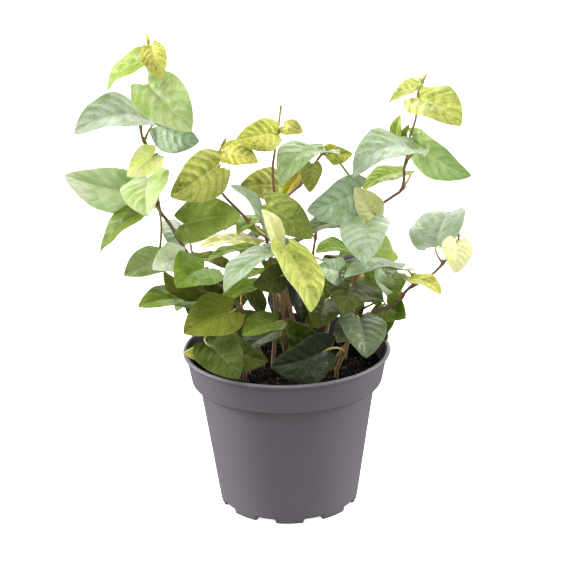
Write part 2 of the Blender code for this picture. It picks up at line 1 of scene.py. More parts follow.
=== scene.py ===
"""Creeping fig in a grey nursery pot: the looks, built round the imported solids.

The pieces are the pot, the potting soil and sixteen leafy stems. A stem is a twig with its
stalks, its quilted heart-shaped blades and the bud at its tip, and it stands where its solid
stands, because it repeats that solid's route and leaves. Sizes and places are in millimetres
and become metres where a mesh is made.
"""

import logging
import math
import random
from dataclasses import dataclass, field
from enum import Enum
from functools import partial
from typing import Callable, NamedTuple

import bmesh
import bpy
from bmesh.types import BMEdge, BMesh, BMFace, BMVert
from bpy.types import Material, Node, NodeSocket, NodeTree, Object
from mathutils import Matrix, Quaternion, Vector, noise
from mathutils.kdtree import KDTree


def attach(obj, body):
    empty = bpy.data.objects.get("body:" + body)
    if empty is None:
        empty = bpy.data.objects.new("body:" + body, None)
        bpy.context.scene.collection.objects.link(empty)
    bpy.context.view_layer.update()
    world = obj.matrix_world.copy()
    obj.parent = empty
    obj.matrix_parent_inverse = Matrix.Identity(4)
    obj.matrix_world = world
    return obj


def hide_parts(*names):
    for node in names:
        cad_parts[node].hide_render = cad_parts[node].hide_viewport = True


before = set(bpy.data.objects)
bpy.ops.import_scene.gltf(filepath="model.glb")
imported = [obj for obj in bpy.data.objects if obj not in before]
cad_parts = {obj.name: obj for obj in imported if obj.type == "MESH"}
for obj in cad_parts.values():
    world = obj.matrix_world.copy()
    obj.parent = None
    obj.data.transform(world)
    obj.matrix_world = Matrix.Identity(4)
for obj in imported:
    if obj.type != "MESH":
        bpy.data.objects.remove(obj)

MM = 0.001
BLADE_UV = "blade"
SHADE = "shade"
ROOT = "root"
SOIL_SEED = 41
STEM_SEED = 67
logger = logging.getLogger("creeping_fig")


class Slot(Enum):
    """The material slots that the record names."""

    POT = "pot"
    SOIL = "soil"
    FOLIAGE = "foliage"


class Tone(Enum):
    """The ages and colours of leaf that the plant bears, with a paler copy that carries painted light and
    darker ones that carry painted shade.
    """

    NEW = "new"
    YOUNG = "young"
    CREAM = "cream"
    # Painted light: a paler copy of the light and grey tones, for leaves that lie in shade.
    PALE = "pale"
    JADE = "jade"
    LIGHT = "light"
    OLIVE = "olive"
    GREEN = "green"
    GREY = "grey"
    DARK = "dark"
    # Moss and deep: older leaves low in the crown, darker for their age and darker still with painted shade.
    MOSS = "moss"
    DEEP = "deep"
    # Painted shade: a darker copy of grey, for grey leaves low in the crown.
    SAGE = "sage"
    COPPER = "copper"


class Leaf(NamedTuple):
    """A blade from its base to its tip, turned about that line."""

    base: tuple
    tip: tuple
    turn: float
    width: float
    tone: Tone
    fold: float = 0.20
    arch: float = 0.08


# Each route starts at the soil and follows the stem to its tip.
ROUTES = {
    "left_tall": [(-14, -2, 87), (-20, -1, 103), (-30, -3, 125), (-45, -9, 141), (-54, -16, 156),
                  (-63, -19, 174), (-69, -20, 185), (-68, -21, 205), (-72, -21, 216), (-76, -20, 224),
                  (-76, -20, 234), (-71, -20, 253), (-70, -20, 264), (-70, -20, 274)],
    "left_low": [(-22, -14, 87), (-28, -16, 106), (-38, -16, 124), (-50, -14, 138), (-62, -13, 146),
                 (-71, -13, 150)],
    "centre_left": [(-8, -8, 87), (-6, -6, 115), (-8, -6, 145), (-11, -7, 163), (-18, -9, 170),
                    (-25, -12, 179), (-34, -17, 191), (-36, -20, 202), (-36, -20, 211), (-32, -20, 220)],
    "centre_up": [(2, 12, 87), (0, 14, 120), (-4, 12, 160), (-6, 8, 194), (-5, 6, 206), (-3, 5, 218),
                  (-1, 5, 232)],
    "centre_right": [(8, 0, 87), (4, -1, 110), (-2, -2, 140), (-6, -8, 175), (-2, -10, 183), (9, -11, 193),
                     (18, -11, 206), (24, -11, 212), (30, -10, 206), (37, -8, 196)],
    "right_tall": [(24, 6, 87), (34, 2, 115), (42, -4, 145), (48, -8, 170), (53, -8, 179), (61, -8, 185),
                   (66, -7, 189), (67, -6, 201), (69, -5, 207), (70, -4, 218), (73, -4, 227),
                   (75, -4, 244), (77, -4, 249)],
    "right_low": [(26, -12, 87), (36, -14, 102), (47, -14, 117), (59, -16, 123), (64, -17, 127),
                  (69, -18, 134), (81, -20, 142), (89, -21, 151), (95, -21, 159), (96, -21, 164)],
    "front_low": [(-24, -22, 87), (-30, -26, 100), (-33, -28, 112), (-32, -28, 126)],
    "front_centre": [(0, -20, 87), (-1, -24, 105), (-2, -28, 130), (-2, -32, 150), (-1, -38, 160),
                     (0, -46, 165)],
    "right_front": [(28, -22, 87), (36, -24, 110), (38, -22, 135), (42, -20, 155), (46, -18, 170)],
    "back_left": [(-20, 18, 87), (-27, 36, 106), (-36, 54, 110), (-42, 70, 102), (-44, 78, 90)],
    "back_middle": [(0, 30, 87), (-3, 46, 114), (-6, 64, 132), (-8, 82, 136), (-8, 94, 128)],
    "back_right": [(22, 20, 87), (30, 38, 112), (40, 56, 122), (46, 74, 118), (48, 88, 106)],
    "back_high": [(11, 18, 87), (14, 24, 120), (17, 29, 144), (20, 33, 160)],
    "side_left": [(-32, 4, 87), (-40, 16, 101), (-46, 28, 107), (-50, 40, 104)],
    "side_right": [(34, 6, 87), (40, 18, 103), (45, 30, 111), (48, 42, 108)],
}

# Leaves listed one by one: those that show from the front, and those that fill the crown behind them.
LEAVES = {
    "left_tall": [
        Leaf((-72, -10, 265), (-97, 0, 246), 35, 0.62, Tone.YOUNG),
        Leaf((-68, -33, 274), (-62, -47, 261), -25, 0.72, Tone.NEW),
        Leaf((-70, -27, 275), (-69, -31, 282), -95, 0.45, Tone.NEW),
        Leaf((-71, -27, 253), (-48, -47, 233), -40, 0.78, Tone.LIGHT),
        Leaf((-74, -32, 237), (-108, -53, 235), 25, 0.74, Tone.GREY, 0.25, 0.14),
        Leaf((-67, -19, 230), (-45, -35, 224), -90, 0.85, Tone.GREY),
        Leaf((-69, -30, 216), (-82, -45, 209), 55, 0.80, Tone.CREAM),
        Leaf((-80, -9, 190), (-119, -22, 203), 100, 0.64, Tone.PALE),
        Leaf((-72, -30, 203), (-72, -61, 192), -20, 0.86, Tone.LIGHT),
        Leaf((-55, -20, 174), (-24, -31, 182), -55, 0.80, Tone.YOUNG),
        Leaf((-58, 10, 164), (-61, -17, 159), 10, 0.88, Tone.GREY),
        Leaf((-22, 14, 124), (-14, 4, 111), 10, 0.84, Tone.DARK),
    ],
    "left_low": [
        Leaf((-76, -31, 185), (-103, -25, 160), 25, 0.62, Tone.GREEN),
        Leaf((-70, 1, 148), (-90, -15, 144), 40, 0.75, Tone.LIGHT),
        Leaf((-56, -25, 157), (-71, -44, 157), 45, 0.80, Tone.PALE),
        Leaf((-44, -31, 152), (-57, -62, 153), 30, 0.86, Tone.GREEN),
        Leaf((-49, -10, 125), (-82, -26, 130), 15, 0.74, Tone.GREEN),
        Leaf((-44, -26, 135), (-66, -42, 153), 150, 0.60, Tone.MOSS),
        Leaf((-51, 10, 145), (-29, -1, 141), -5, 0.60, Tone.MOSS),
    ],
    "centre_left": [
        Leaf((-36, -30, 209), (-59, -52, 199), 70, 0.80, Tone.OLIVE),
        Leaf((-33, -5, 211), (-14, -16, 208), -45, 0.72, Tone.NEW),
        Leaf((-19, -8, 171), (-26, -18, 168), 5, 0.80, Tone.GREEN),
        Leaf((-11, -35, 175), (-27, -48, 204), 40, 0.50, Tone.GREY),
    ],
    "centre_up": [
        Leaf((-5, -1, 220), (-25, -15, 220), 75, 0.78, Tone.NEW),
        Leaf((1, 9, 221), (11, 1, 220), -45, 0.84, Tone.NEW),
        Leaf((-2, 25, 183), (-25, 12, 186), 60, 0.78, Tone.OLIVE),
        Leaf((-16, 25, 147), (-49, 13, 152), 10, 0.55, Tone.CREAM),
        Leaf((-13, 5, 150), (-44, -7, 150), 0, 0.50, Tone.YOUNG),
        Leaf((-10, 18, 139), (-1, 8, 125), 5, 0.80, Tone.GREEN),
        Leaf((6, 15, 129), (10, 9, 107), 0, 0.80, Tone.DEEP),
        Leaf((-6, 22, 117), (-1, 14, 101), 0, 0.84, Tone.DEEP),
    ],
    "centre_right": [
        Leaf((22, -25, 214), (-2, -49, 204), 5, 0.80, Tone.JADE, 0.20, 0.24),
        Leaf((9, -2, 198), (-1, 1, 181), 85, 0.40, Tone.COPPER),
        Leaf((25, -14, 212), (37, -24, 213), -100, 0.80, Tone.NEW),
        Leaf((16, -15, 205), (14, -26, 193), 0, 0.75, Tone.OLIVE),
        Leaf((-10, -13, 182), (15, -26, 167), -45, 0.70, Tone.YOUNG),
        Leaf((41, -12, 189), (13, -30, 183), 90, 0.80, Tone.GREY),
    ],
    "right_tall": [
        Leaf((74, -19, 241), (93, -46, 234), -25, 0.80, Tone.OLIVE),
        Leaf((75, 11, 242), (60, 24, 231), 35, 0.68, Tone.OLIVE),
        Leaf((76, -9, 247), (75, -11, 255), -105, 0.40, Tone.NEW),
        Leaf((77, 2, 245), (80, -2, 252), -55, 0.40, Tone.NEW),
        Leaf((74, 3, 213), (101, -23, 199), -95, 0.60, Tone.LIGHT),
        Leaf((63, 6, 213), (65, 4, 228), -95, 0.55, Tone.YOUNG),
        Leaf((67, 5, 213), (70, 2, 223), -90, 0.45, Tone.YOUNG),
        Leaf((70, -17, 213), (37, -36, 205), 15, 0.80, Tone.GREY, 0.20, 0.22),
        Leaf((68, 15, 192), (44, -2, 188), 10, 0.60, Tone.YOUNG),
        Leaf((50, -13, 176), (39, -20, 193), 105, 0.75, Tone.CREAM),
        Leaf((34, 6, 166), (10, -8, 163), 5, 0.75, Tone.DARK),
        Leaf((40, 16, 141), (26, 8, 138), 0, 0.70, Tone.DEEP),
        Leaf((57, 15, 134), (62, 6, 119), -10, 0.84, Tone.GREY),
    ],
    "right_low": [
        Leaf((84, -17, 158), (97, 16, 170), 15, 0.90, Tone.GREY, 0.30),
        Leaf((94, -30, 164), (92, -46, 152), 10, 0.86, Tone.CREAM),
        Leaf((69, -34, 145), (84, -50, 142), -5, 0.65, Tone.NEW),
        Leaf((59, -17, 140), (62, -34, 137), -10, 0.90, Tone.GREEN),
        Leaf((58, -1, 118), (66, -24, 119), -50, 0.85, Tone.GREEN),
        Leaf((64, -27, 148), (32, -46, 152), 0, 0.62, Tone.GREY),
    ],
    "front_low": [
        Leaf((-30, -41, 130), (-55, -58, 125), 40, 0.88, Tone.MOSS),
        Leaf((-43, -46, 113), (-26, -63, 100), -25, 0.95, Tone.DARK),
        Leaf((-46, -42, 108), (-56, -48, 109), 90, 0.70, Tone.NEW),
        Leaf((-33, -33, 108), (-11, -48, 103), -90, 0.75, Tone.DARK),
    ],
    "front_centre": [
        Leaf((0, -54, 169), (14, -80, 144), 15, 0.72, Tone.OLIVE),
        Leaf((-4, -42, 168), (-11, -49, 190), 85, 0.55, Tone.CREAM),
        Leaf((-6, -37, 163), (-33, -61, 150), -5, 0.64, Tone.GREY),
        Leaf((-17, -13, 136), (-36, -24, 129), 5, 0.75, Tone.GREEN),
        Leaf((-2, -37, 149), (-17, -50, 148), 75, 0.80, Tone.DARK),
        Leaf((-5, -34, 121), (-24, -47, 119), 20, 0.80, Tone.GREEN),
        Leaf((-9, -21, 109), (-25, -37, 103), 5, 0.75, Tone.SAGE),
        Leaf((-1, -17, 109), (23, -29, 106), -100, 0.90, Tone.DARK),
    ],
    "right_front": [
        Leaf((45, -31, 176), (42, -61, 164), -10, 0.86, Tone.GREY),
        Leaf((51, -10, 154), (63, 7, 148), -50, 0.85, Tone.YOUNG),
        Leaf((37, -24, 158), (17, -40, 164), 15, 0.70, Tone.GREEN),
        Leaf((30, -36, 150), (18, -52, 159), 90, 0.70, Tone.GREY),
        Leaf((36, -26, 139), (31, -57, 134), 15, 0.80, Tone.DARK),
        Leaf((22, -26, 130), (17, -55, 126), 15, 0.80, Tone.DARK),
        Leaf((40, -34, 122), (43, -60, 110), 10, 0.95, Tone.SAGE),
        Leaf((38, -30, 116), (28, -47, 114), 20, 0.86, Tone.SAGE),
        Leaf((22, -36, 105), (-8, -51, 101), 95, 0.86, Tone.DEEP),
    ],
    "back_high": [
        Leaf((17, 16, 133), (23, 6, 118), 0, 0.84, Tone.MOSS),
        Leaf((20, 20, 116), (15, 12, 100), 0, 0.86, Tone.MOSS),
        Leaf((22, 6, 143), (34, -2, 137), 10, 0.70, Tone.GREY),
    ],
    "side_right": [
        Leaf((44, 15, 128), (38, 4, 111), 5, 0.84, Tone.MOSS),
        Leaf((38, 22, 116), (38, 14, 99), 0, 0.86, Tone.DEEP),
        Leaf((58, 14, 111), (54, 4, 95), 0, 0.84, Tone.GREEN),
    ],
    "side_left": [
        Leaf((-34, 14, 119), (-28, 6, 107), 0, 0.84, Tone.DARK),
        Leaf((-46, 8, 110), (-38, 0, 100), 0, 0.84, Tone.GREEN),
    ],
}

# Leaves grown by rule: how many, and the stretch of the stem that bears them.
GROWN = {
    "back_left": (9, 0.25, 1.0),
    "back_middle": (9, 0.25, 1.0),
    "back_right": (9, 0.25, 1.0),
    "back_high": (4, 0.25, 1.0),
    "side_left": (6, 0.25, 1.0),
    "side_right": (6, 0.25, 1.0),
    "centre_up": (2, 0.15, 0.50),
    "right_tall": (1, 0.10, 0.35),
}


def linear(colour: str) -> tuple:
    """Turn an sRGB colour into the linear one that a shader takes.

    Args:
        colour: the colour as #rrggbb.

    Returns:
        Red, green, blue and a full alpha.
    """
    shares = [int(colour[at:at + 2], 16) / 255 for at in (1, 3, 5)]
    return (*(share / 12.92 if share <= 0.04045 else ((share + 0.055) / 1.055) ** 2.4
              for share in shares), 1.0)


def set_sockets(node: Node, sockets: dict) -> None:
    """Give a node's inputs their values and links.

    Args:
        node: the node whose inputs are set.
        sockets: for each input, by name or number, a value, an output to link, or a node,
            which gives its first output in use.
    """
    for name, value in sockets.items():
        if isinstance(value, Node):
            value = next(output for output in value.outputs if output.enabled)
        if isinstance(value, NodeSocket):
            node.id_data.links.new(value, node.inputs[name])
        else:
            node.inputs[name].default_value = value


def add_node(tree: NodeTree, kind: str, sockets: dict, **settings) -> Node:
    """Add a shader node with its settings, values and links.

    Args:
        tree: the node tree that takes the node.
        kind: the node's type, without ShaderNode in front.
        sockets: what its inputs are given, as set_sockets takes it.
        settings: the node's own properties.

    Returns:
        The new node.
    """
    node = tree.nodes.new("ShaderNode" + kind)
    for name, value in settings.items():
        setattr(node, name, value)
    set_sockets(node, sockets)
    return node


def new_material(name: str) -> tuple:
    """Start a material.

    Args:
        name: the material's name.

    Returns:
        The material, its Principled shader, and add_node for its own tree.
    """
    material = bpy.data.materials.new(name)
    material.use_nodes = True
    tree = material.node_tree
    return material, tree.nodes["Principled BSDF"], partial(add_node, tree)


def new_piece(name: str, bm: BMesh, materials: list) -> Object:
    """Put a finished bmesh in the scene as a piece, at the origin and in metres.

    Args:
        name: the piece's name.
        bm: the shape in millimetres. It is freed here.
        materials: the piece's materials, in the order of its faces' numbers.

    Returns:
        The new object.
    """
    bmesh.ops.scale(bm, vec=(MM, MM, MM), verts=bm.verts)
    mesh = bpy.data.meshes.new(name)
    bm.to_mesh(mesh)
    bm.free()
    for material in materials:
        mesh.materials.append(material)
    thing = bpy.data.objects.new(name, mesh)
    bpy.context.scene.collection.objects.link(thing)
    return thing


def stand_for(piece: Object, node: str, slot: Slot) -> None:
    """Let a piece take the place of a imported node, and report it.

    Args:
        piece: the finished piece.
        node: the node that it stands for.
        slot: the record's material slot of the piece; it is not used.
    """
    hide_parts(node)
    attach(piece, ROOT)
    logger.info("%s: %d faces, stands for %s", piece.name, len(piece.data.polygons), node)


def sweep(bm: BMesh, path: list, radii: list, sides: int, slot: int) -> list:
    """Draw a closed tube along a path.

    Args:
        bm: the bmesh that takes the tube.
        path: the points of its centre line.
        radii: its radius at each point.
        sides: how many sides it has.
        slot: the number of its material.

    Returns:
        The tube's vertices, ring by ring.
    """
    ways = [(end - start).normalized() for start, end in zip(path, path[1:])]
    headings = [ways[0]] + [(one + two).normalized() for one, two in zip(ways, ways[1:])] + [ways[-1]]
    place = Matrix.Translation(path[0]) @ headings[0].to_track_quat("Z", "Y").to_matrix().to_4x4()
    ring = bmesh.ops.create_circle(bm, cap_ends=True, radius=radii[0], segments=sides, matrix=place)["verts"]
    bottom = ring[0].link_faces[0]
    if bottom.normal.dot(headings[0]) > 0:
        bmesh.ops.reverse_faces(bm, faces=[bottom])
    edges = list(bottom.edges)
    made, faces = list(ring), [bottom]
    for number in range(1, len(path)):
        grown = bmesh.ops.extrude_edge_only(bm, edges=edges)["geom"]
        ring = [piece for piece in grown if isinstance(piece, BMVert)]
        edges = [piece for piece in grown if isinstance(piece, BMEdge)]
        faces += [piece for piece in grown if isinstance(piece, BMFace)]
        turn = headings[number - 1].rotation_difference(headings[number]).to_matrix().to_4x4()
        size = Matrix.Scale(radii[number] / radii[number - 1], 4)
        move = Matrix.Translation(path[number]) @ turn @ size @ Matrix.Translation(-path[number - 1])
        bmesh.ops.transform(bm, matrix=move, verts=ring)
        made += ring
    faces += bmesh.ops.contextual_create(bm, geom=edges)["faces"]
    for face in faces:
        face.material_index = slot
        face.smooth = True
    return made


@dataclass(frozen=True)
class MouldedPolypropylene:
    """Injection-moulded polypropylene, as nursery pots are: a satin skin with faint flow marks."""

    name: str = "moulded_polypropylene"
    colour: str = "#6b666b"
    light: str = "#747076"
    flow_mm: float = 26.0
    grain_mm: float = 0.5
    grain_depth_mm: float = 0.1

    def build(self) -> Material:
        """Make the material: soft wide reflections, a slightly cloudy grey and a fine grain.

        Returns:
            The material.
        """
        material, shader, add = new_material(self.name)
        place = add("TexCoord", {}).outputs["Object"]
        stretched = add("Mapping", {"Vector": place, "Scale": (1.0, 1.0, 0.35)})
        flow = add("TexNoise", {"Vector": stretched, "Scale": 1.0 / (self.flow_mm * MM), "Detail": 3.0})
        grain = add("TexNoise", {"Vector": place, "Scale": 1.0 / (self.grain_mm * MM)})
        set_sockets(shader, {
            "Base Color": add("Mix", {"Factor": flow, "A": linear(self.colour), "B": linear(self.light)},
                              data_type="RGBA"),
            "Roughness": add("MapRange", {"Value": flow, "To Min": 0.40, "To Max": 0.50}),
            "Normal": add("Bump", {"Height": grain, "Strength": 0.12, "Distance": self.grain_depth_mm * MM}),
            "IOR": 1.49})
        return material


@dataclass(frozen=True)
class DampPeat:
    """Damp peat compost: near-black crumbs with brown fibres, and no shine."""

    dark: str = "#060504"
    brown: str = "#17120e"
    crumb_mm: float = 1.6
    crumb_depth_mm: float = 0.6
    cloud_mm: float = 9.0

    def build(self) -> Material:
        """Make the material: raised crumbs that turn browner in clouds, with hardly a reflection.

        Returns:
            The material.
        """
        material, shader, add = new_material("damp_peat")
        place = add("TexCoord", {}).outputs["Object"]
        crumbs = add("TexVoronoi", {"Vector": place, "Scale": 1.0 / (self.crumb_mm * MM)})
        clouds = add("TexNoise", {"Vector": place, "Scale": 1.0 / (self.cloud_mm * MM), "Detail": 6.0})
        share = add("Math", {0: crumbs, 1: clouds}, operation="MULTIPLY")
        set_sockets(shader, {
            "Base Color": add("Mix", {"Factor": share, "A": linear(self.dark), "B": linear(self.brown)},
                              data_type="RGBA"),
            "Normal": add("Bump", {"Height": crumbs, "Strength": 0.8, "Distance": self.crumb_depth_mm * MM}),
            "Roughness": 0.92, "Specular IOR Level": 0.1})
        return material


@dataclass(frozen=True)
class CoirFibre:
    """Fibres and bark scraps in the compost: dry, dull and lighter than the peat."""

    dark: str = "#1a110b"
    light: str = "#3e2c1f"
    spot_mm: float = 4.0

    def build(self) -> Material:
        """Make the material: brown that changes from scrap to scrap.

        Returns:
            The material.
        """
        material, shader, add = new_material("coir_fibre")
        place = add("TexCoord", {}).outputs["Object"]
        spots = add("TexNoise", {"Vector": place, "Scale": 1.0 / (self.spot_mm * MM), "Detail": 2.0})
        set_sockets(shader, {
            "Base Color": add("Mix", {"Factor": spots, "A": linear(self.dark), "B": linear(self.light)},
                              data_type="RGBA"),
            "Roughness": 0.85})
        return material


@dataclass(frozen=True)
class GreenwoodBark:
    """Young fig bark: brown and dull on the old wood, thinner and greener towards the tip."""

    old: str = "#7f6643"
    young: str = "#a9a458"
    fleck: str = "#3a2b1f"
    fleck_mm: float = 1.3
    fleck_depth_mm: float = 0.2
    green_from: float = 0.72

    def build(self) -> Material:
        """Make the material: bark that follows the twig's age, with darker flecks drawn coarse to show.

        Returns:
            The material.
        """
        material, shader, add = new_material("greenwood_bark")
        age = add("Attribute", {}, attribute_name=SHADE).outputs["Fac"]
        place = add("TexCoord", {}).outputs["Object"]
        flecks = add("TexNoise", {"Vector": place, "Scale": 1.0 / (self.fleck_mm * MM), "Detail": 3.0})
        growth = add("MapRange", {"Value": age, "From Min": self.green_from})
        wood = add("Mix", {"Factor": growth, "A": linear(self.old), "B": linear(self.young)},
                   data_type="RGBA")
        share = add("MapRange", {"Value": flecks, "From Min": 0.52, "From Max": 0.68, "To Max": 0.7})
        set_sockets(shader, {
            "Base Color": add("Mix", {"Factor": share, "A": wood, "B": linear(self.fleck)}, data_type="RGBA"),
            "Normal": add("Bump", {"Height": flecks, "Strength": 0.5, "Distance": self.fleck_depth_mm * MM}),
            "Roughness": 0.62})
        return material


@dataclass(frozen=True)
class LeafStalk:
    """Leaf stalk: smooth and yellow-green, reddish brown where it leaves the twig."""

    green: str = "#a3ac4c"
    brown: str = "#987038"

    def build(self) -> Material:
        """Make the material: from brown to green along the stalk.

        Returns:
            The material.
        """
        material, shader, add = new_material("leaf_stalk")
        along = add("Attribute", {}, attribute_name=SHADE).outputs["Fac"]
        set_sockets(shader, {
            "Base Color": add("Mix", {"Factor": along, "A": linear(self.brown), "B": linear(self.green)},
                              data_type="RGBA"),
            "Roughness": 0.48})
        return material


@dataclass(frozen=True)
class WaxyLeaf:
    """A living fig leaf of one tone: a waxy skin over quilted green, with pale veins and edge, painted shade
    in the grooves between its blisters and painted glints on their tops.
    """

    tone: Tone
    blade: str
    patch: str
    vein: str
    under: str
    veins_show: float
    grooves_show: float
    thinness: float
    roughness: float
    shine: float = 0.25
    under_roughness: float = 0.62
    net_mm: float = 2.2
    mottle_mm: float = 1.1
    cloud_mm: float = 11.0
    vein_depth_mm: float = 0.40
    grain_depth_mm: float = 0.2
    light_reach_mm: float = 0.9
    light_reach: tuple = (0.7, 1.0, 0.3)

    def build(self) -> list:
        """Make the two materials.

        Returns:
            The upper skin, which is waxy, and the duller underside.
        """
        return [self.skin("upper", self.blade, self.roughness),
                self.skin("under", self.under, self.under_roughness)]

    def skin(self, side: str, blade: str, roughness: float) -> Material:
        """Make one side's material.

        Args:
            side: upper or under, for the name.
            blade: the colour between the veins.
            roughness: the middle roughness of the skin.

        Returns:
            The material.
        """
        material, shader, add = new_material(f"waxy_leaf_{self.tone.value}_{side}")
        place = add("TexCoord", {}).outputs["Object"]
        axes = add("SeparateXYZ", {0: add("UVMap", {}, uv_map=BLADE_UV)})
        centred = add("Math", {0: axes.outputs["X"], 1: 2.0, 2: -1.0}, operation="MULTIPLY_ADD")
        away = add("Math", {0: centred}, operation="ABSOLUTE")
        clouds = add("TexNoise", {"Vector": place, "Scale": 1.0 / (self.cloud_mm * MM), "Detail": 4.0})
        mottle = add("TexNoise", {"Vector": place, "Scale": 1.0 / (self.mottle_mm * MM), "Detail": 2.0})
        main, groove = self.main_veins(add, away, axes.outputs["Y"], clouds)
        net = add("TexVoronoi", {"Vector": place, "Scale": 1.0 / (self.net_mm * MM)},
                  feature="DISTANCE_TO_EDGE")
        mesh = add("MapRange", {"Value": net, "From Max": 0.22, "To Min": 0.50, "To Max": 0.0})
        edge = add("MapRange", {"Value": away, "From Min": 0.93, "From Max": 0.99, "To Max": 0.9})
        veins = add("Math", {0: main, 1: mesh}, operation="MAXIMUM")
        pale = add("Math", {0: veins, 1: edge}, operation="MAXIMUM")
        cloud = add("MapRange", {"Value": clouds, "From Min": 0.46, "From Max": 0.66})
        uneven = add("MapRange", {"Value": mottle, "From Min": 0.35, "From Max": 0.60,
                                  "To Min": 0.5 * self.grooves_show, "To Max": self.grooves_show})
        # Painted shade: the grooves between the blisters are drawn in the patch colour, as if the quilting
        # shaded them; the clouds mix in real patches of that colour.
        shaded = add("Math", {0: groove, 1: uneven}, operation="MULTIPLY")
        sunk = add("Math", {0: cloud, 1: shaded}, operation="MAXIMUM")
        ground = add("Mix", {"Factor": sunk, "A": linear(blade), "B": linear(self.patch)}, data_type="RGBA")
        # Painted highlight: small pale glints in the vein colour on the blister tops, where neither clouds
        # nor painted groove shade lie.
        speck = add("MapRange", {"Value": mottle, "From Min": 0.50, "From Max": 0.70, "To Max": 0.8})
        raised = add("Math", {0: 1.0, 1: sunk}, operation="SUBTRACT")
        total = add("Math", {0: speck, 1: raised, 2: pale}, operation="MULTIPLY_ADD")
        share = add("Math", {0: total, 1: self.veins_show}, operation="MULTIPLY", use_clamp=True)
        veined = add("Mix", {"Factor": share, "A": ground, "B": linear(self.vein)}, data_type="RGBA")
        own = add("Attribute", {}, attribute_name=SHADE).outputs["Fac"]
        hue = add("MapRange", {"Value": own, "To Min": 0.495, "To Max": 0.508})
        bright = add("MapRange", {"Value": own, "To Min": 0.84, "To Max": 1.14})
        coarse = add("Bump", {"Height": veins, "Strength": 0.55, "Distance": -self.vein_depth_mm * MM})
        set_sockets(shader, {
            "Base Color": add("HueSaturation", {"Hue": hue, "Value": bright, "Color": veined}),
            "Roughness": add("MapRange", {"Value": clouds, "From Min": 0.3, "From Max": 0.7,
                                          "To Min": roughness - 0.06, "To Max": roughness + 0.08}),
            "Normal": add("Bump", {"Height": mottle, "Strength": 0.35, "Normal": coarse,
                                   "Distance": self.grain_depth_mm * MM}),
            "IOR": 1.45, "Specular IOR Level": self.shine, "Subsurface Weight": self.thinness,
            "Subsurface Radius": self.light_reach, "Subsurface Scale": self.light_reach_mm * MM})
        return material

    @staticmethod
    def main_veins(add: Callable, away: Node, along: NodeSocket, drift: Node) -> tuple:
        """Draw the midrib and the side veins, which lean to the tip, and the grooves they lie in.

        Args:
            add: add_node for the material's tree.
            away: the distance from the midrib, from 0 to 1 at the edge.
            along: the place along the blade, from 0 at the base to 1 at the tip.
            drift: a slow noise that bends the side veins out of step.

        Returns:
            How much vein and how much groove there is at a place, each from 0 to 1.
        """
        bend = add("Math", {0: away, 1: VEIN_CURVE}, operation="POWER")
        lean = add("Math", {0: along, 1: -VEIN_FADE * VEIN_LEAN, 2: VEIN_LEAN}, operation="MULTIPLY_ADD")
        back = add("Math", {0: bend, 1: lean}, operation="MULTIPLY")
        phase = add("Math", {0: along, 1: back}, operation="SUBTRACT")
        bent = add("Math", {0: drift, 1: VEIN_DRIFT, 2: phase}, operation="MULTIPLY_ADD")
        turns = add("Math", {0: bent, 1: VEIN_PAIRS}, operation="MULTIPLY")
        gap = add("Math", {0: turns, 1: 0.5}, operation="PINGPONG")
        side_veins = add("MapRange", {"Value": gap, "From Max": 0.07, "To Min": 0.5, "To Max": 0.0})
        groove = add("MapRange", {"Value": gap, "From Min": 0.03, "From Max": 0.24,
                                  "To Min": 1.0, "To Max": 0.0})
        midrib = add("MapRange", {"Value": away, "From Min": 0.02, "From Max": 0.07,
                                  "To Min": 1.0, "To Max": 0.0})
        return add("Math", {0: side_veins, 1: midrib}, operation="MAXIMUM"), groove


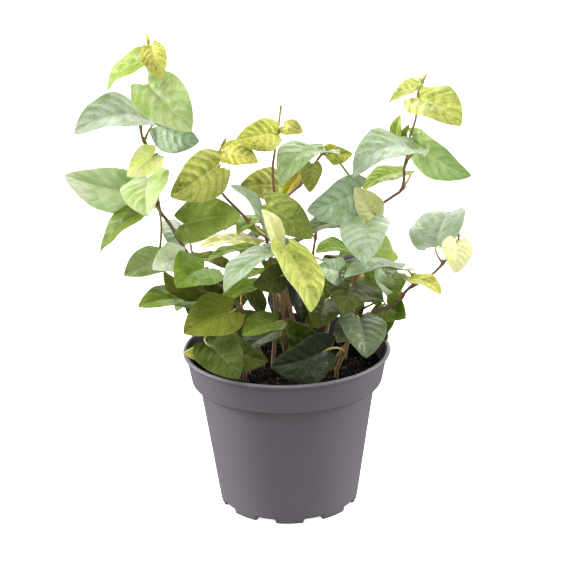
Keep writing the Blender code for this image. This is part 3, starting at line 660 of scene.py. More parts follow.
# Each tone of leaf: the colours of its blade, of its cloudy patches and painted groove shade, of its veins
# and of its underside, then how much its veins show, how much painted shade its grooves get, how much light
# comes through, its roughness and, where it differs, its shine.
WAXY_LEAVES = [
    WaxyLeaf(Tone.NEW, "#c2c134", "#94941a", "#f0ebb4", "#c6c568", 0.52, 0.95, 0.60, 0.40),
    WaxyLeaf(Tone.YOUNG, "#8c9c3a", "#728824", "#bac47c", "#a0a85c", 0.42, 0.70, 0.60, 0.40),
    WaxyLeaf(Tone.CREAM, "#eeeeb2", "#d8da7a", "#f8f6da", "#f0efb8", 0.50, 0.80, 0.85, 0.40),
    # Pale: painted light, a paler copy for leaves that lie in shade.
    WaxyLeaf(Tone.PALE, "#e8efd2", "#c2d89c", "#f2f5e2", "#98a86c", 0.42, 0.80, 0.50, 0.40, 0.35),
    WaxyLeaf(Tone.LIGHT, "#aebf80", "#8eac4a", "#cad4aa", "#b4c28c", 0.45, 0.85, 0.50, 0.40),
    WaxyLeaf(Tone.OLIVE, "#a8ac42", "#767c12", "#cecd92", "#b0b46e", 0.45, 0.95, 0.50, 0.40),
    WaxyLeaf(Tone.GREEN, "#72882a", "#4e690c", "#8e9d4c", "#7c8c3c", 0.40, 0.85, 0.35, 0.40, 0.15),
    WaxyLeaf(Tone.JADE, "#8c9f6c", "#68823c", "#b0bf8c", "#94a470", 0.42, 0.90, 0.35, 0.38),
    # Grey: the pale grey blade over green hollows is partly painted sheen.
    WaxyLeaf(Tone.GREY, "#a4b398", "#7a9652", "#c2cdb8", "#a8b48c", 0.45, 0.95, 0.30, 0.36, 0.40),
    # Sage: painted shade, a darker copy of grey.
    WaxyLeaf(Tone.SAGE, "#5e6c48", "#425626", "#7e8c6a", "#6e7c58", 0.45, 0.90, 0.30, 0.36, 0.40),
    WaxyLeaf(Tone.DARK, "#515b1d", "#374708", "#717b44", "#687236", 0.40, 0.90, 0.35, 0.40, 0.15),
    # Moss and deep: darker for their age, and darker still with painted shade.
    WaxyLeaf(Tone.MOSS, "#73781f", "#515c0a", "#93974e", "#848c3c", 0.38, 0.90, 0.35, 0.42, 0.15),
    WaxyLeaf(Tone.DEEP, "#2e351d", "#1c240f", "#50583c", "#40482c", 0.40, 0.90, 0.25, 0.40, 0.40),
    WaxyLeaf(Tone.COPPER, "#b3ae34", "#a88a2c", "#ccb44c", "#a89c34", 0.50, 0.70, 0.60, 0.40),
]

# How much the skin bulges between the veins: young leaves are the most quilted.
QUILTING = {Tone.NEW: 2.0, Tone.YOUNG: 1.5, Tone.CREAM: 1.8, Tone.OLIVE: 2.2, Tone.MOSS: 1.4}

# Veins: how many pairs a blade has, and how far and in what curve they lean to the tip.
VEIN_PAIRS = 5.5
VEIN_LEAN = 0.42
VEIN_CURVE = 1.25
VEIN_FADE = 0.35
VEIN_DRIFT = 0.16

# Stem and stalk, as the solids have them
STEM_STEP = 13.0
NODE_STEP = 3.0
ROOT_BOTTOM = 62.0
STALK_DROP = 5.0

# The plain blade, as the solids have it
LOBE_DEPTH = 0.16
LOBE_WIDTH = 0.62
WIDEST_AT = 0.30

# The crown's limits: sideways, and along the sight line that falls away to the back.
SIGHT_SLOPE = 0.34
CROWN_TOP = 176.0
CROWN_LEFT = -65.0
CROWN_RIGHT = 61.0
CROWN_BOTTOM = 70.0
HIDDEN_BEHIND = 30.0
GAPS = [(-55.0, -29.0, 141.0, 162.0), (13.0, 33.0, 151.0, 164.0)]
MOUTH_RADIUS = 50.0
SOIL_CLEAR_HEIGHT = 86.0
RIM_CLEAR_RADIUS = 64.0
RIM_CLEAR_HEIGHT = 97.0


def smooth_path(points: list, step: float) -> list:
    """Follow a smooth curve through points.

    Args:
        points: the points that the curve goes through.
        step: about how far apart the new points lie.

    Returns:
        Points along the curve, with the given ones among them.
    """
    ends = [2 * points[0] - points[1]] + points + [2 * points[-1] - points[-2]]
    path = []
    for before, start, end, after in zip(ends, ends[1:], ends[2:], ends[3:]):
        count = max(1, round((end - start).length / step))
        for number in range(count):
            t = number / count
            path.append(0.5 * (2 * start + (end - before) * t
                               + (2 * before - 5 * start + 4 * end - after) * t * t
                               + (after - before + 3 * (start - end)) * t ** 3))
    path.append(points[-1])
    return path


def stem_path(name: str, step: float) -> list:
    """Follow a stem: straight in the soil, then along its route.

    Args:
        name: the stem's name.
        step: about how far apart the points lie.

    Returns:
        The points, from inside the soil to the tip.
    """
    route = [Vector(point) for point in ROUTES[name]]
    foot = Vector((route[0].x, route[0].y, ROOT_BOTTOM))
    return [foot] + smooth_path(route, step)


def leaf_nodes(path: list) -> list:
    """List the places on a stem that a stalk can leave from.

    Args:
        path: the stem's path.

    Returns:
        Points close together along the stem, above the soil.
    """
    nodes = []
    for start, end in zip(path[1:], path[2:]):
        count = math.ceil((end - start).length / NODE_STEP)
        nodes += [start.lerp(end, number / count) for number in range(count)]
    return nodes[1:] + [path[-1]]


def blade_half_width(s: float) -> float:
    """Work out how wide the blade's outline is at a place.

    Args:
        s: the place along the blade, from base 0 to tip 1.

    Returns:
        The half width, as a share of the greatest one.
    """
    if s < WIDEST_AT:
        return LOBE_WIDTH + (1 - LOBE_WIDTH) * math.sin(math.pi / 2 * s / WIDEST_AT) ** 0.8
    t = (s - WIDEST_AT) / (1 - WIDEST_AT)
    return max(0.0, 1 - t) ** 0.78 * (1 + 0.68 * t)


class Blade:
    """One leaf's plain sheet, its living surface and the route of its stalk.

    The heights of the quilting, rib and waves are in millimetres, for a blade of full length.
    The curl is a share of the blade's length.
    """

    CHECK_ROWS = 14
    CHECK_COLUMNS = 11
    QUILT = 0.75
    BLISTER = 3.6
    RIB_DEPTH = 0.45
    RIB_WIDTH = 0.9
    RIB_CLEAR = 2.5
    WAVE = 0.9
    WAVES = 1.6
    SIDE_SHIFT = 0.35
    CURL = 0.05
    CURL_FROM = 0.6
    FULL_LENGTH = 36.0

    def __init__(self, leaf: Leaf, nodes: list) -> None:
        """Set the blade on its line.

        Args:
            leaf: where the blade lies and what it is like.
            nodes: the places on its stem that its stalk may leave from.
        """
        self.leaf = leaf
        self.base = Vector(leaf.base)
        run = Vector(leaf.tip) - self.base
        self.length = run.length
        self.axis = run.normalized()
        upward = (Vector((0, 0, 1)) - self.axis.z * self.axis).normalized()
        self.face = Quaternion(self.axis, math.radians(-leaf.turn)) @ upward
        self.across = self.face.cross(self.axis)
        wanted = self.base - Vector((0, 0, STALK_DROP))
        self.foot = min(nodes, key=lambda node: (node - wanted).length)

    def point(self, s: float, v: float) -> Vector:
        """Find a point of the plain sheet.

        Args:
            s: the place along the blade, from base 0 to tip 1.
            v: the place across the blade, from -1 to 1.

        Returns:
            The point.
        """
        leaf = self.leaf
        side = v * leaf.width * self.length / 2 * blade_half_width(s)
        lobe = LOBE_DEPTH * math.sin(0.8 * math.pi * abs(v) ** 1.2) * (1 - s) ** 3
        along = self.length * (s - lobe)
        t = min(max(along / self.length, 0.0), 1.0)
        lift = leaf.fold * abs(side) + leaf.arch * self.length * 4 * t * (1 - t)
        return self.base + along * self.axis + side * self.across + lift * self.face

    def living_point(self, s: float, v: float, wave: float) -> Vector:
        """Find a point of the living leaf: sunk midrib, quilting, a waved edge and a tip that curls.

        Args:
            s: the place along the blade, from base 0 to tip 1.
            v: the place across the blade, from -1 to 1.
            wave: where the edge's waves start, from 0 to 1.

        Returns:
            The point, in the middle of the leaf's thickness.
        """
        size = self.length / self.FULL_LENGTH
        away = abs(v)
        side = away * self.leaf.width * self.length / 2 * blade_half_width(s)
        phase = VEIN_PAIRS * (s - VEIN_LEAN * away ** VEIN_CURVE * (1 - VEIN_FADE * s))
        inside = (1 - away ** 3) * min(1.0, 4 * (1 - s)) * min(1.0, side / self.RIB_CLEAR)
        plain = self.point(s, v)
        puff = self.QUILT * QUILTING.get(self.leaf.tone, 1.0) * (1 + noise.noise(plain / self.BLISTER))
        quilt = puff * size * abs(math.sin(math.pi * phase)) * inside
        rib = self.RIB_DEPTH * size * math.exp(-(side / self.RIB_WIDTH) ** 2) * (1 - s)
        turns = self.WAVES * s + wave + (self.SIDE_SHIFT if v > 0 else 0.0)
        edge = self.WAVE * size * away ** 2 * math.sin(2 * math.pi * turns) * math.sin(math.pi * s)
        curl = self.CURL * self.length * (max(0.0, s - self.CURL_FROM) / (1 - self.CURL_FROM)) ** 2
        return plain + (quilt - rib + edge - curl) * self.face

    def check_points(self) -> list:
        """Points spread over the blade, for keeping leaves apart."""
        columns = [2 * column / (self.CHECK_COLUMNS - 1) - 1 for column in range(self.CHECK_COLUMNS)]
        return [self.point(row / self.CHECK_ROWS, v)
                for row in range(self.CHECK_ROWS + 1) for v in columns]

    def stalk(self, count: int) -> list:
        """Lead the stalk from the stem, in a curve, to the blade's base.

        Args:
            count: how many points to give.

        Returns:
            The points, in order.
        """
        run = self.base - self.foot
        bend = self.base - 0.5 * run.length * self.axis
        curve = []
        for number in range(count):
            t = number / (count - 1)
            curve.append((1 - t) ** 2 * self.foot + 2 * t * (1 - t) * bend + t * t * self.base)
        return curve


class Thicket:
    """Keeps the points of what has grown, and says whether a new leaf is clear of it."""

    def __init__(self) -> None:
        """Start with nothing grown."""
        self.points = []
        self.tree = None

    def add(self, points: list) -> None:
        """Keep a grown piece's points.

        Args:
            points: the points to keep.
        """
        self.points.extend(points)
        self.tree = KDTree(len(self.points))
        for number, point in enumerate(self.points):
            self.tree.insert(point, number)
        self.tree.balance()

    def clear(self, points: list, gap: float) -> bool:
        """Whether every point is further than the gap from what has grown."""
        return all(self.tree.find(point)[2] > gap for point in points)


@dataclass
class Growth:
    """The rule that sets every leaf: first those listed one by one, then those that fill the crown."""

    seed: int = 1871
    tries: int = 600
    shrink: float = 0.4
    blade_gap: float = 2.7
    stalk_gap: float = 2.2
    stalk_checks: int = 8
    middle_y: float = -20.0
    headings: tuple = (-2.0, 2.0)
    rises: tuple = (-1.1, 0.3)
    stalks: tuple = (6.0, 16.0)
    stalk_out: float = 0.8
    stalk_up: float = 0.6
    lengths: tuple = (26.0, 36.0)
    turns: tuple = (-30.0, 30.0)
    widths: tuple = (0.76, 0.88)
    # Moss and deep, among the grown leaves' tones, carry painted shade as well as age.
    tones: tuple = (Tone.GREEN, Tone.GREY, Tone.DARK, Tone.MOSS, Tone.DEEP, Tone.GREEN)

    def grow(self) -> dict:
        """Set the blades of every stem.

        Returns:
            A list of blades for each stem's name.
        """
        rng = random.Random(self.seed)
        stems, foliage = Thicket(), Thicket()
        blades = {name: [] for name in ROUTES}
        nodes = {name: leaf_nodes(stem_path(name, STEM_STEP)) for name in ROUTES}
        stems.add([node for free in nodes.values() for node in free])
        for name, free in nodes.items():
            for leaf in LEAVES.get(name, []):
                blade = Blade(leaf, free)
                free.remove(blade.foot)
                blades[name].append(blade)
                foliage.add(blade.check_points() + blade.stalk(self.stalk_checks)[1:])
        for name, (count, first, last) in GROWN.items():
            for number in range(count):
                for attempt in range(self.tries):
                    at = first + (last - first) * (number + rng.random()) / count
                    size = 1.0 - self.shrink * attempt / self.tries
                    blade = Blade(self.draw(rng, nodes[name], at, size), nodes[name])
                    spread = blade.check_points()
                    if not all(self.in_bounds(point) for point in spread):
                        continue
                    stalk = blade.stalk(self.stalk_checks)
                    if (stems.clear(spread, self.blade_gap) and foliage.clear(spread, self.blade_gap)
                            and stems.clear(stalk[3:], self.stalk_gap)
                            and foliage.clear(stalk[1:], self.stalk_gap)):
                        nodes[name].remove(blade.foot)
                        blades[name].append(blade)
                        foliage.add(spread + stalk[1:])
                        break
        return blades

    @staticmethod
    def in_bounds(point: Vector) -> bool:
        """Say whether a grown leaf may reach a point: clear of the pot, and hidden or among the crown.

        Args:
            point: a point of the leaf.

        Returns:
            True if it may.
        """
        radius = math.hypot(point.x, point.y)
        sight = point.z + SIGHT_SLOPE * point.y
        if radius < MOUTH_RADIUS:
            lowest = SOIL_CLEAR_HEIGHT
        elif radius < RIM_CLEAR_RADIUS or point.y < HIDDEN_BEHIND:
            lowest = RIM_CLEAR_HEIGHT
        else:
            lowest = CROWN_BOTTOM
        if point.z < lowest or sight > CROWN_TOP or not CROWN_LEFT < point.x < CROWN_RIGHT:
            return False
        return not any(left < point.x < right and low < sight < high for left, right, low, high in GAPS)

    def draw(self, rng: random.Random, nodes: list, at: float, size: float) -> Leaf:
        """Draw one leaf that could grow from a place on a stem.

        Args:
            rng: the random numbers of all grown leaves.
            nodes: the free places on the stem.
            at: the place's share of the way along the stem.
            size: the leaf's size, as a share of a full one.

        Returns:
            The leaf.
        """
        node = nodes[int(at * (len(nodes) - 1))]
        outward = math.atan2(node.y - self.middle_y, node.x)
        heading = outward + rng.uniform(*self.headings)
        rise = rng.uniform(*self.rises)
        stalk = rng.uniform(*self.stalks)
        length = size * rng.uniform(*self.lengths)
        away = Vector((math.cos(heading), math.sin(heading), 0))
        base = node + stalk * (away * self.stalk_out + Vector((0, 0, self.stalk_up)))
        tip = base + length * (away * math.cos(rise) + Vector((0, 0, math.sin(rise))))
        tone = rng.choice(self.tones)
        return Leaf(tuple(base), tuple(tip), rng.uniform(*self.turns), rng.uniform(*self.widths), tone)


@dataclass
class LeafyStem:
    """One stem as it grows: the twig with its knots, its leaf stalks, its blades and its tip bud.

    The bud is a row of rings, each with its step from the one before and its share of the twig's
    tip radius. The scales at a knot are rows of length, width, place to the side and lean, and a
    rootlet is a row of rings, each with its place along it and its radius.
    """

    name: str
    blades: list
    finishes: dict
    rng: random.Random
    step: float = 3.0
    sides: int = 10
    foot_radius: float = 1.5
    tip_radius: float = 0.75
    waist: float = 0.86
    knot: float = 0.45
    knot_length: float = 1.6
    bud: tuple = ((0.4, 1.25), (0.867, 1.05), (1.333, 0.55), (1.733, 0.12))
    scales: tuple = ((3.4, 0.62, 0.7, 0.55), (3.4, 0.62, -0.7, -0.55), (2.2, 0.70, 0.0, 0.0))
    scale_up: float = 0.9
    scale_out: float = 0.55
    scale_clear: float = 0.4
    scale_tip: float = 0.05
    rootlet: tuple = ((0.0, 0.26), (0.35, 0.20), (0.7, 0.15), (1.0, 0.08))
    rootlet_lengths: tuple = (2.5, 5.5)
    rootlet_leans: tuple = (-0.4, 0.2)
    rootlet_droop: float = 0.25
    stalk_radius: float = 0.62
    stalk_flare: float = 0.35
    stalk_points: int = 12
    stalk_sides: int = 8
    stalk_greening: float = 1.6
    rib_steps: tuple = (0.12, 0.25, 0.4, 0.55)
    rib_reach: float = 0.6
    blade_columns: int = 24
    blade_rows: int = 36
    blade_thickness: float = 0.40
    scale_sides: int = 6
    rootlets_below: float = 165.0
    bark_slot: int = 0
    stalk_slot: int = 1

    def build(self) -> Object:
        """Make the whole stem as one piece.

        Returns:
            The piece.
        """
        tones = sorted({blade.leaf.tone for blade in self.blades}, key=lambda tone: tone.value)
        materials = [self.finishes["bark"], self.finishes["stalk"]]
        slots = {}
        for tone in tones:
            slots[tone] = len(materials)
            materials += self.finishes[tone]
        bm = bmesh.new()
        bm.loops.layers.uv.new(BLADE_UV)
        self.shade = bm.verts.layers.float.new(SHADE)
        self.path = stem_path(self.name, self.step)
        self.add_twig(bm)
        for blade in self.blades:
            self.add_stalk(bm, blade)
            self.add_scales(bm, blade)
        for blade in self.blades:
            self.add_blade(bm, blade, slots[blade.leaf.tone])
        piece = new_piece("fig_" + self.name, bm, materials)
        stand_for(piece, "leafy_stem_" + self.name, Slot.FOLIAGE)
        return piece

    def add_twig(self, bm: BMesh) -> None:
        """Draw the twig: tapering, swollen at each knot where a stalk leaves, and closed by its bud.

        Args:
            bm: the bmesh that takes the twig.
        """
        path = list(self.path)
        feet = [min(path, key=lambda point, foot=blade.foot: (point - foot).length)
                for blade in self.blades]
        radii = []
        for number, point in enumerate(path):
            plain = self.foot_radius + (self.tip_radius - self.foot_radius) * number / (len(path) - 1)
            near = min((point - foot).length for foot in feet)
            radii.append(plain * (self.waist + self.knot * math.exp(-(near / self.knot_length) ** 2)))
        way = (path[-1] - path[-2]).normalized()
        for reach, share in self.bud:
            path.append(path[-1] + reach * way)
            radii.append(self.tip_radius * share)
        made = sweep(bm, path, radii, self.sides, self.bark_slot)
        for number, vertex in enumerate(made):
            vertex[self.shade] = number / len(made)

    def add_stalk(self, bm: BMesh, blade: Blade) -> None:
        """Draw one stalk, from its foot in the twig to where its rib fades under the blade.

        Args:
            bm: the bmesh that takes the stalk.
            blade: the blade that the stalk bears.
        """
        path = blade.stalk(self.stalk_points)
        radii = [self.stalk_radius * (1 + self.stalk_flare * max(0.0, 1 - 3 * number / len(path)))
                 for number in range(len(path))]
        under = self.blade_thickness * blade.face
        for step in self.rib_steps:
            path.append(blade.living_point(step / self.rib_steps[-1] * self.rib_reach, 0, 0) - under)
            radii.append(self.stalk_radius * (0.75 - step))
        made = sweep(bm, path, radii, self.stalk_sides, self.stalk_slot)
        for number, vertex in enumerate(made):
            vertex[self.shade] = min(1.0, self.stalk_greening * number / len(made))

    def add_scales(self, bm: BMesh, blade: Blade) -> None:
        """Set two pointed scales and a bud where a stalk leaves the twig, and a few rootlets.

        Args:
            bm: the bmesh that takes them.
            blade: the blade that the stalk bears.
        """
        near = min(range(1, len(self.path) - 1),
                   key=lambda number: (self.path[number] - blade.foot).length)
        way = (self.path[near + 1] - self.path[near - 1]).normalized()
        out = (blade.stalk(self.stalk_points)[1] - blade.foot).normalized()
        side = way.cross(out).normalized()
        for length, width, place, lean in self.scales:
            axis = (self.scale_up * way + lean * side + self.scale_out * out).normalized()
            middle = blade.foot + place * side + self.scale_clear * out + length / 2 * axis
            matrix = Matrix.Translation(middle) @ axis.to_track_quat("Z", "Y").to_matrix().to_4x4()
            made = bmesh.ops.create_cone(bm, cap_ends=True, segments=self.scale_sides, radius1=width,
                                         radius2=self.scale_tip, depth=length, matrix=matrix)["verts"]
            for vertex in made:
                vertex[self.shade] = self.rng.uniform(0.25, 0.75)
                for face in vertex.link_faces:
                    face.material_index = self.stalk_slot
                    face.smooth = True
        for _ in range(self.rng.randrange(3) if blade.foot.z < self.rootlets_below else 0):
            spin = Quaternion(way, self.rng.uniform(0, 2 * math.pi))
            heading = (spin @ side + self.rng.uniform(*self.rootlet_leans) * way).normalized()
            length = self.rng.uniform(*self.rootlet_lengths)
            droop = Vector((0, 0, -self.rootlet_droop * length))
            root = [blade.foot + share * length * heading + share * share * droop
                    for share, _ in self.rootlet]
            sweep(bm, root, [radius for _, radius in self.rootlet], self.scale_sides, self.bark_slot)

    def add_blade(self, bm: BMesh, blade: Blade, slot: int) -> None:
        """Bend a grid to a blade and give it its thickness.

        Args:
            bm: the bmesh that takes the blade.
            blade: the blade's surface.
            slot: the number of its upper skin; its underside and rim have the next.
        """
        wave, own = self.rng.random(), self.rng.random()
        verts = bmesh.ops.create_grid(bm, x_segments=self.blade_columns, y_segments=self.blade_rows,
                                      size=1, calc_uvs=True)["verts"]
        for vertex in verts:
            vertex.co = blade.living_point((vertex.co.y + 1) / 2, -vertex.co.x, wave)
            vertex[self.shade] = own
        bmesh.ops.remove_doubles(bm, verts=verts, dist=0.01)
        sheet = [vertex for vertex in verts if vertex.is_valid]
        faces = {face for vertex in sheet for face in vertex.link_faces}
        for face in faces:
            face.material_index = slot + 1
            face.smooth = True
        count = len(bm.faces)
        half = self.blade_thickness / 2 * blade.face
        grown = bmesh.ops.extrude_face_region(bm, geom=list(faces), use_keep_orig=True)["geom"]
        for vertex in sheet:
            vertex.co -= half
        top = set()
        for element in grown:
            if isinstance(element, BMVert):
                element.co += half
            elif isinstance(element, BMFace):
                element.material_index = slot
                top.add(element)
        bm.faces.ensure_lookup_table()
        skins = top | faces
        for face in set(bm.faces[count:]) - top:
            face.material_index = slot + 1
            for edge in face.edges:
                if not skins.isdisjoint(edge.link_faces):
                    edge.smooth = False


@dataclass
class NurseryPot:
    """The moulded pot: body, collar, rolled lip, nine feet and drain holes.

    Its inner wall has the second material, a darker grey than the outside.
    """

    finish: Material
    stained: Material
    steps: int = 360
    height: float = 93.2
    rim_radius: float = 60.0
    lip_height: float = 1.9
    collar_top: float = 58.2
    collar_foot: float = 55.1
    collar_foot_height: float = 74.5
    body_top: float = 51.1
    base_radius: float = 41.0
    wall: float = 1.4
    base_underside: float = 1.6
    base_top: float = 4.2
    foot_count: int = 9
    foot_spread: float = 22.0
    foot_turn: float = -90.0
    notch_height: float = 2.6
    notch_slope: float = 1.3
    notch_inner: float = 33.0
    drain_count: int = 6
    drain_radius: float = 4.0
    drain_ring: float = 24.0
    sharp_degrees: float = 50.0

    def build(self) -> Object:
        """Make the pot as one piece.

        Returns:
            The piece.
        """
        lip_foot = self.height - self.lip_height
        wall_low = self.base_radius + 0.3 - self.wall
        # Each corner has a radius, a height and a rounding.
        profile = [
            (0, self.base_top, 0), (wall_low - 1.4, self.base_top, 1.2),
            (self.body_top - self.wall, self.collar_foot_height, 1.0),
            (self.collar_foot - self.wall, self.collar_foot_height + self.wall, 1.0),
            (self.collar_top - self.wall, lip_foot, 0.3), (self.collar_top - 0.6, self.height, 0.7),
            (self.rim_radius, self.height, 0.8), (self.rim_radius - 0.2, lip_foot, 0.5),
            (self.collar_top, lip_foot - 0.3, 0.5), (self.collar_foot, self.collar_foot_height, 1.1),
            (self.body_top, self.collar_foot_height - 0.6, 0.9), (self.base_radius, self.base_top, 0.5),
            (self.base_radius - 0.7, 0, 0.4), (self.base_radius - 4.2, 0, 0.4),
            (self.base_radius - 4.8, self.base_underside, 0.4), (self.notch_inner, self.base_underside, 0),
            (0, self.base_underside, 0),
        ]
        bm = bmesh.new()
        verts = [bm.verts.new((radius, 0, height)) for radius, height, _ in profile]
        edges = [bm.edges.new(pair) for pair in zip(verts, verts[1:])]
        for vertex, (_, _, rounding) in zip(verts, profile):
            if rounding:
                bmesh.ops.bevel(bm, geom=[vertex], offset=rounding, segments=4, profile=0.5,
                                affect="VERTICES", material=-1)
        bmesh.ops.spin(bm, geom=bm.verts[:] + bm.edges[:], cent=(0, 0, 0), axis=(0, 0, 1),
                       angle=2 * math.pi, steps=self.steps, use_merge=True)
        bmesh.ops.remove_doubles(bm, verts=bm.verts, dist=0.01)
        bmesh.ops.recalc_face_normals(bm, faces=bm.faces)
        for vertex in bm.verts:
            vertex.co.z += self.notch_rise(vertex.co)
        for face in bm.faces:
            face.smooth = True
            middle = face.calc_center_median()
            outward = Vector((middle.x, middle.y, 0)).normalized()
            # Faces above the base that look inward make the inner wall, which takes the darker grey.
            if middle.z > self.base_top and face.normal.dot(outward) < -0.5:
                face.material_index = 1
        piece = new_piece("nursery_pot", bm, [self.finish, self.stained])
        self.cut_drains(piece)
        piece.data.set_sharp_from_angle(angle=math.radians(self.sharp_degrees))
        stand_for(piece, "pot", Slot.POT)
        return piece

    def notch_rise(self, place: Vector) -> float:
        """Draw the foot ring up at a place, which leaves the feet between the notches.

        Args:
            place: a point of the turned shape.

        Returns:
            The rise in millimetres.
        """
        if place.z > self.base_underside + 0.01 or place.xy.length < self.notch_inner + 1:
            return 0.0
        spacing = 360.0 / self.foot_count
        turn = (math.degrees(math.atan2(place.y, place.x)) - self.foot_turn) % spacing
        off = min(turn, spacing - turn) - self.foot_spread / 2
        share = min(max(off / self.notch_slope, 0.0), 1.0)
        return (self.notch_height - place.z) * share * share * (3 - 2 * share)

    def cut_drains(self, piece: Object) -> None:
        """Cut the ring of drain holes through the base.

        Args:
            piece: the pot.
        """
        bm = bmesh.new()
        for number in range(self.drain_count):
            turn = Matrix.Rotation(math.radians(360.0 / self.drain_count * number), 4, "Z")
            place = Matrix.Translation((self.drain_ring, 0, self.base_top / 2))
            bmesh.ops.create_cone(bm, cap_ends=True, segments=32, radius1=self.drain_radius,
                                  radius2=self.drain_radius, depth=2 * self.base_top, matrix=turn @ place)
        cutter = new_piece("drain_cutter", bm, [])
        difference = piece.modifiers.new("drains", "BOOLEAN")
        difference.operation = "DIFFERENCE"
        difference.object = cutter
        bpy.context.view_layer.update()
        evaluated = piece.evaluated_get(bpy.context.evaluated_depsgraph_get())
        mesh = bpy.data.meshes.new_from_object(evaluated)
        piece.modifiers.clear()
        piece.data = mesh
        bpy.data.objects.remove(cutter)


@dataclass
class PottingSoil:
    """The compost: a crumbly surface with loose crumbs, fibres and scraps on it."""

    peat: Material
    fibre: Material
    rng: random.Random
    steps: int = 120
    height: float = 83.0
    edge_height: float = 81.0
    edge_radius: float = 55.2
    shoulder: tuple = (53.2, 76.6)
    shoulder_foot: tuple = (49.0, 74.8)
    bottom: float = 4.5
    bottom_radius: float = 36.8
    rings: int = 34
    swell_height: float = 0.9
    lump_height: float = 0.9
    crumb_count: int = 1400
    crumb_size: float = 1.9
    crumb_rough: float = 0.22
    scrap_share: float = 0.12
    fibre_count: int = 260
    fibre_points: int = 5
    fibre_lengths: tuple = (3.0, 10.0)
    fibre_radii: tuple = (0.12, 0.30)
    batch: int = 25

    def build(self) -> Object:
        """Make the soil as one piece.

        Returns:
            The piece.
        """
        bm = bmesh.new()
        self.add_body(bm)
        self.scatter(bm, self.crumb_count, self.add_crumb)
        self.scatter(bm, self.fibre_count, self.add_fibre)
        piece = new_piece("potting_soil", bm, [self.peat, self.fibre])
        stand_for(piece, "soil", Slot.SOIL)
        return piece

    def surface(self, x: float, y: float) -> float:
        """Work out the height of the crumbly surface at a place.

        Args:
            x: the place to the right of the middle.
            y: the place behind the middle.

        Returns:
            The height in millimetres.
        """
        radius = math.hypot(x, y)
        plain = self.height - (self.height - self.edge_height) * (radius / self.edge_radius) ** 2
        swell = math.sin(0.31 * x + 1.7) * math.cos(0.27 * y) + 0.6 * math.sin(0.53 * y - 0.41 * x)
        lumps = noise.fractal(Vector((0.22 * x, 0.22 * y, 0.0)), 0.7, 2.1, 5)
        return plain + self.swell_height * swell + self.lump_height * lumps

    def add_body(self, bm: BMesh) -> None:
        """Turn the body of the soil and raise its surface into crumbs.

        Args:
            bm: the bmesh that takes the body.
        """
        top = [(self.edge_radius * number / self.rings, self.height) for number in range(self.rings + 1)]
        profile = top + [self.shoulder, self.shoulder_foot, (self.bottom_radius, self.bottom),
                         (0, self.bottom)]
        verts = [bm.verts.new((radius, 0, height)) for radius, height in profile]
        edges = [bm.edges.new(pair) for pair in zip(verts, verts[1:])]
        bmesh.ops.spin(bm, geom=verts + edges, cent=(0, 0, 0), axis=(0, 0, 1), angle=2 * math.pi,
                       steps=self.steps, use_merge=True)
        bmesh.ops.remove_doubles(bm, verts=bm.verts, dist=0.01)
        bmesh.ops.recalc_face_normals(bm, faces=bm.faces)
        for vertex in bm.verts:
            if vertex.co.z > self.height - 0.5:
                vertex.co.z = self.surface(vertex.co.x, vertex.co.y)
        for face in bm.faces:
            face.smooth = True

    def scatter(self, bm: BMesh, count: int, add: Callable) -> None:
        """Add many small things in small batches, because each step slows down as a mesh grows.

        Args:
            bm: the bmesh that takes them all.
            count: how many to add.
            add: the method that adds one to a bmesh.
        """
        for start in range(0, count, self.batch):
            batch = bmesh.new()
            for _ in range(min(self.batch, count - start)):
                add(batch)
            mesh = bpy.data.meshes.new("batch")
            batch.to_mesh(mesh)
            batch.free()
            bm.from_mesh(mesh)
            bpy.data.meshes.remove(mesh)

    def spot(self) -> Vector:
        """Draw a random spot on the surface.

        Returns:
            The spot.
        """
        radius = (self.edge_radius - 2.5) * math.sqrt(self.rng.random())
        angle = self.rng.uniform(0, 2 * math.pi)
        x, y = radius * math.cos(angle), radius * math.sin(angle)
        return Vector((x, y, self.surface(x, y)))

    def add_crumb(self, bm: BMesh) -> None:
        """Sink one rough crumb half into the surface.

        Args:
            bm: the bmesh that takes the crumb.
        """
        size = self.rng.uniform(0.4, 1.0) ** 2 * self.crumb_size
        squash = Matrix.Diagonal((1.0, self.rng.uniform(0.6, 1.0), self.rng.uniform(0.45, 0.9), 1.0))
        turn = Matrix.Rotation(self.rng.uniform(0, 2 * math.pi), 4, (self.rng.random(), self.rng.random(), 1))
        place = Matrix.Translation(self.spot()) @ turn @ squash
        made = bmesh.ops.create_icosphere(bm, subdivisions=1, radius=size, matrix=place)["verts"]
        slot = 1 if self.rng.random() < self.scrap_share else 0
        for vertex in made:
            vertex.co += self.crumb_rough * size * Vector([self.rng.uniform(-1, 1) for _ in range(3)])
            for face in vertex.link_faces:
                face.material_index = slot

    def add_fibre(self, bm: BMesh) -> None:
        """Lay one thin fibre on the surface.

        Args:
            bm: the bmesh that takes the fibre.
        """
        start = self.spot()
        heading = self.rng.uniform(0, 2 * math.pi)
        length = self.rng.uniform(*self.fibre_lengths)
        bend = self.rng.uniform(-0.5, 0.5)
        path = []
        for number in range(self.fibre_points):
            reach = length * number / (self.fibre_points - 1)
            turn = heading + bend * number / 2
            x = start.x + reach * math.cos(turn)
            y = start.y + reach * math.sin(turn)
            if math.hypot(x, y) < self.edge_radius - 1.0:
                path.append(Vector((x, y, self.surface(x, y) + self.rng.uniform(0.1, 0.7))))
        if len(path) > 2:
            radius = self.rng.uniform(*self.fibre_radii)
            sweep(bm, path, [radius] * len(path), 5, 1)


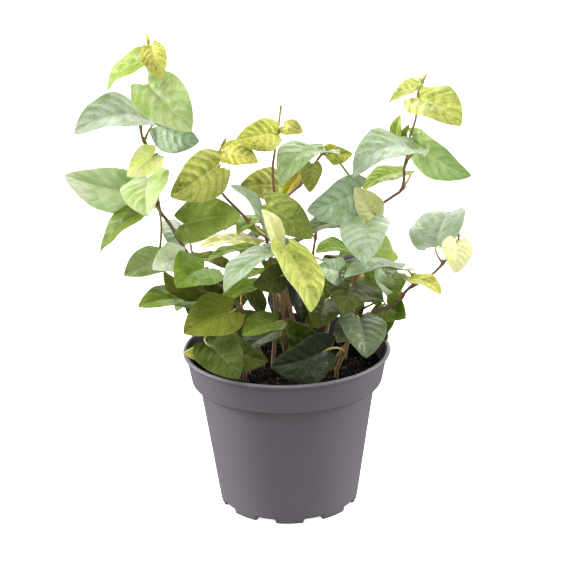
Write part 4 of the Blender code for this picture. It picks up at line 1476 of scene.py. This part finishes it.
@dataclass
class Studio:
    """The camera at the photograph's angle, the pale floor and the soft lights."""

    image: int = 572
    focal_pixels: float = 1585.0
    sensor: float = 36.0
    elevation: float = 18.7
    roll: float = 1.03
    distance: float = 905.0
    aim: tuple = (0.26, 0.0, 130.5)
    floor_size: float = 9000.0
    white: str = "#ffffff"
    floor_glow: float = 0.8
    backdrop_radius: float = 4300.0
    world_strength: float = 0.25
    lights: list = field(default_factory=lambda: [
        ("key_light", (-400, -900, 1840), 1120, 27.0),
        ("front_light", (300, -1500, 420), 900, 8.0),
        ("right_light", (1520, 256, 672), 800, 33.0),
        ("left_light", (-1520, 256, 672), 800, 45.0),
        ("back_light", (0, 1280, 1150), 1120, 22.0),
    ])

    def build(self) -> None:
        """Set up the whole studio."""
        self.place_camera()
        self.lay_floor()
        self.hang_backdrop()
        self.hang_lights()
        scene = bpy.context.scene
        scene.view_settings.view_transform = "Standard"
        world = bpy.data.worlds.new("studio_world")
        world.use_nodes = True
        background = world.node_tree.nodes["Background"]
        set_sockets(background, {"Color": linear(self.white), "Strength": self.world_strength})
        scene.world = world

    def place_camera(self) -> None:
        """Place the camera: it looks at the aim point from the front and from above, slightly rolled."""
        data = bpy.data.cameras.new("camera")
        data.sensor_width = self.sensor
        data.lens = self.sensor * self.focal_pixels / self.image
        data.clip_start = 0.01
        data.clip_end = 100.0
        camera = bpy.data.objects.new("camera", data)
        rise = math.radians(self.elevation)
        back = Vector((0, -math.cos(rise), math.sin(rise)))
        camera.location = (Vector(self.aim) + self.distance * back) * MM
        camera.rotation_mode = "QUATERNION"
        rolled = Quaternion((0, 0, 1), math.radians(-self.roll))
        camera.rotation_quaternion = (-back).to_track_quat("-Z", "Y") @ rolled
        bpy.context.scene.collection.objects.link(camera)
        bpy.context.scene.camera = camera

    def lay_floor(self) -> None:
        """Lay the pale floor that the pot stands on, bright enough to stay white in every view."""
        bm = bmesh.new()
        bmesh.ops.create_grid(bm, x_segments=1, y_segments=1, size=self.floor_size / 2)
        self.set_stage("floor", bm, self.floor_glow)

    def hang_backdrop(self) -> None:
        """Put a wide white backdrop round the whole studio."""
        bm = bmesh.new()
        bmesh.ops.create_uvsphere(bm, u_segments=48, v_segments=24, radius=self.backdrop_radius)
        bmesh.ops.reverse_faces(bm, faces=bm.faces)
        self.set_stage("backdrop", bm, 1.0).visible_shadow = False

    def set_stage(self, name: str, bm: BMesh, glow: float) -> Object:
        """Make a white stage surface that glows a little and throws no light on the plant.

        Args:
            name: the object's name.
            bm: its shape in millimetres.
            glow: how strongly it glows.

        Returns:
            The object.
        """
        material, shader, _ = new_material("white_" + name)
        white = linear(self.white)
        set_sockets(shader, {"Base Color": white, "Roughness": 0.9, "Emission Color": white,
                             "Emission Strength": glow})
        surface = new_piece(name, bm, [material])
        surface.visible_diffuse = surface.visible_transmission = surface.visible_glossy = False
        return surface

    def hang_lights(self) -> None:
        """Hang the soft lights, each turned to the middle of the plant."""
        aim = Vector(self.aim) * MM
        for name, place, size, power in self.lights:
            data = bpy.data.lights.new(name, "AREA")
            data.size = size * MM
            data.energy = power
            light = bpy.data.objects.new(name, data)
            light.location = Vector(place) * MM
            light.rotation_mode = "QUATERNION"
            light.rotation_quaternion = (aim - light.location).to_track_quat("-Z", "Y")
            light.visible_camera = False
            bpy.context.scene.collection.objects.link(light)


def main() -> None:
    """Build the studio, the pot, the soil and every leafy stem."""
    logging.basicConfig(level=logging.INFO, format="%(name)s: %(message)s")
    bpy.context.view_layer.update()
    Studio().build()
    # The inner wall is a darker grey than the outside.
    stained = MouldedPolypropylene("peat_stained_polypropylene", "#2b2726", "#3a3433")
    NurseryPot(MouldedPolypropylene().build(), stained.build()).build()
    PottingSoil(DampPeat().build(), CoirFibre().build(), random.Random(SOIL_SEED)).build()
    finishes = {"bark": GreenwoodBark().build(), "stalk": LeafStalk().build()}
    for leaf in WAXY_LEAVES:
        finishes[leaf.tone] = leaf.build()
    rng = random.Random(STEM_SEED)
    for name, blades in Growth().grow().items():
        LeafyStem(name, blades, finishes, rng).build()
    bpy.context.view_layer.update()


if __name__ == "__main__":
    main()
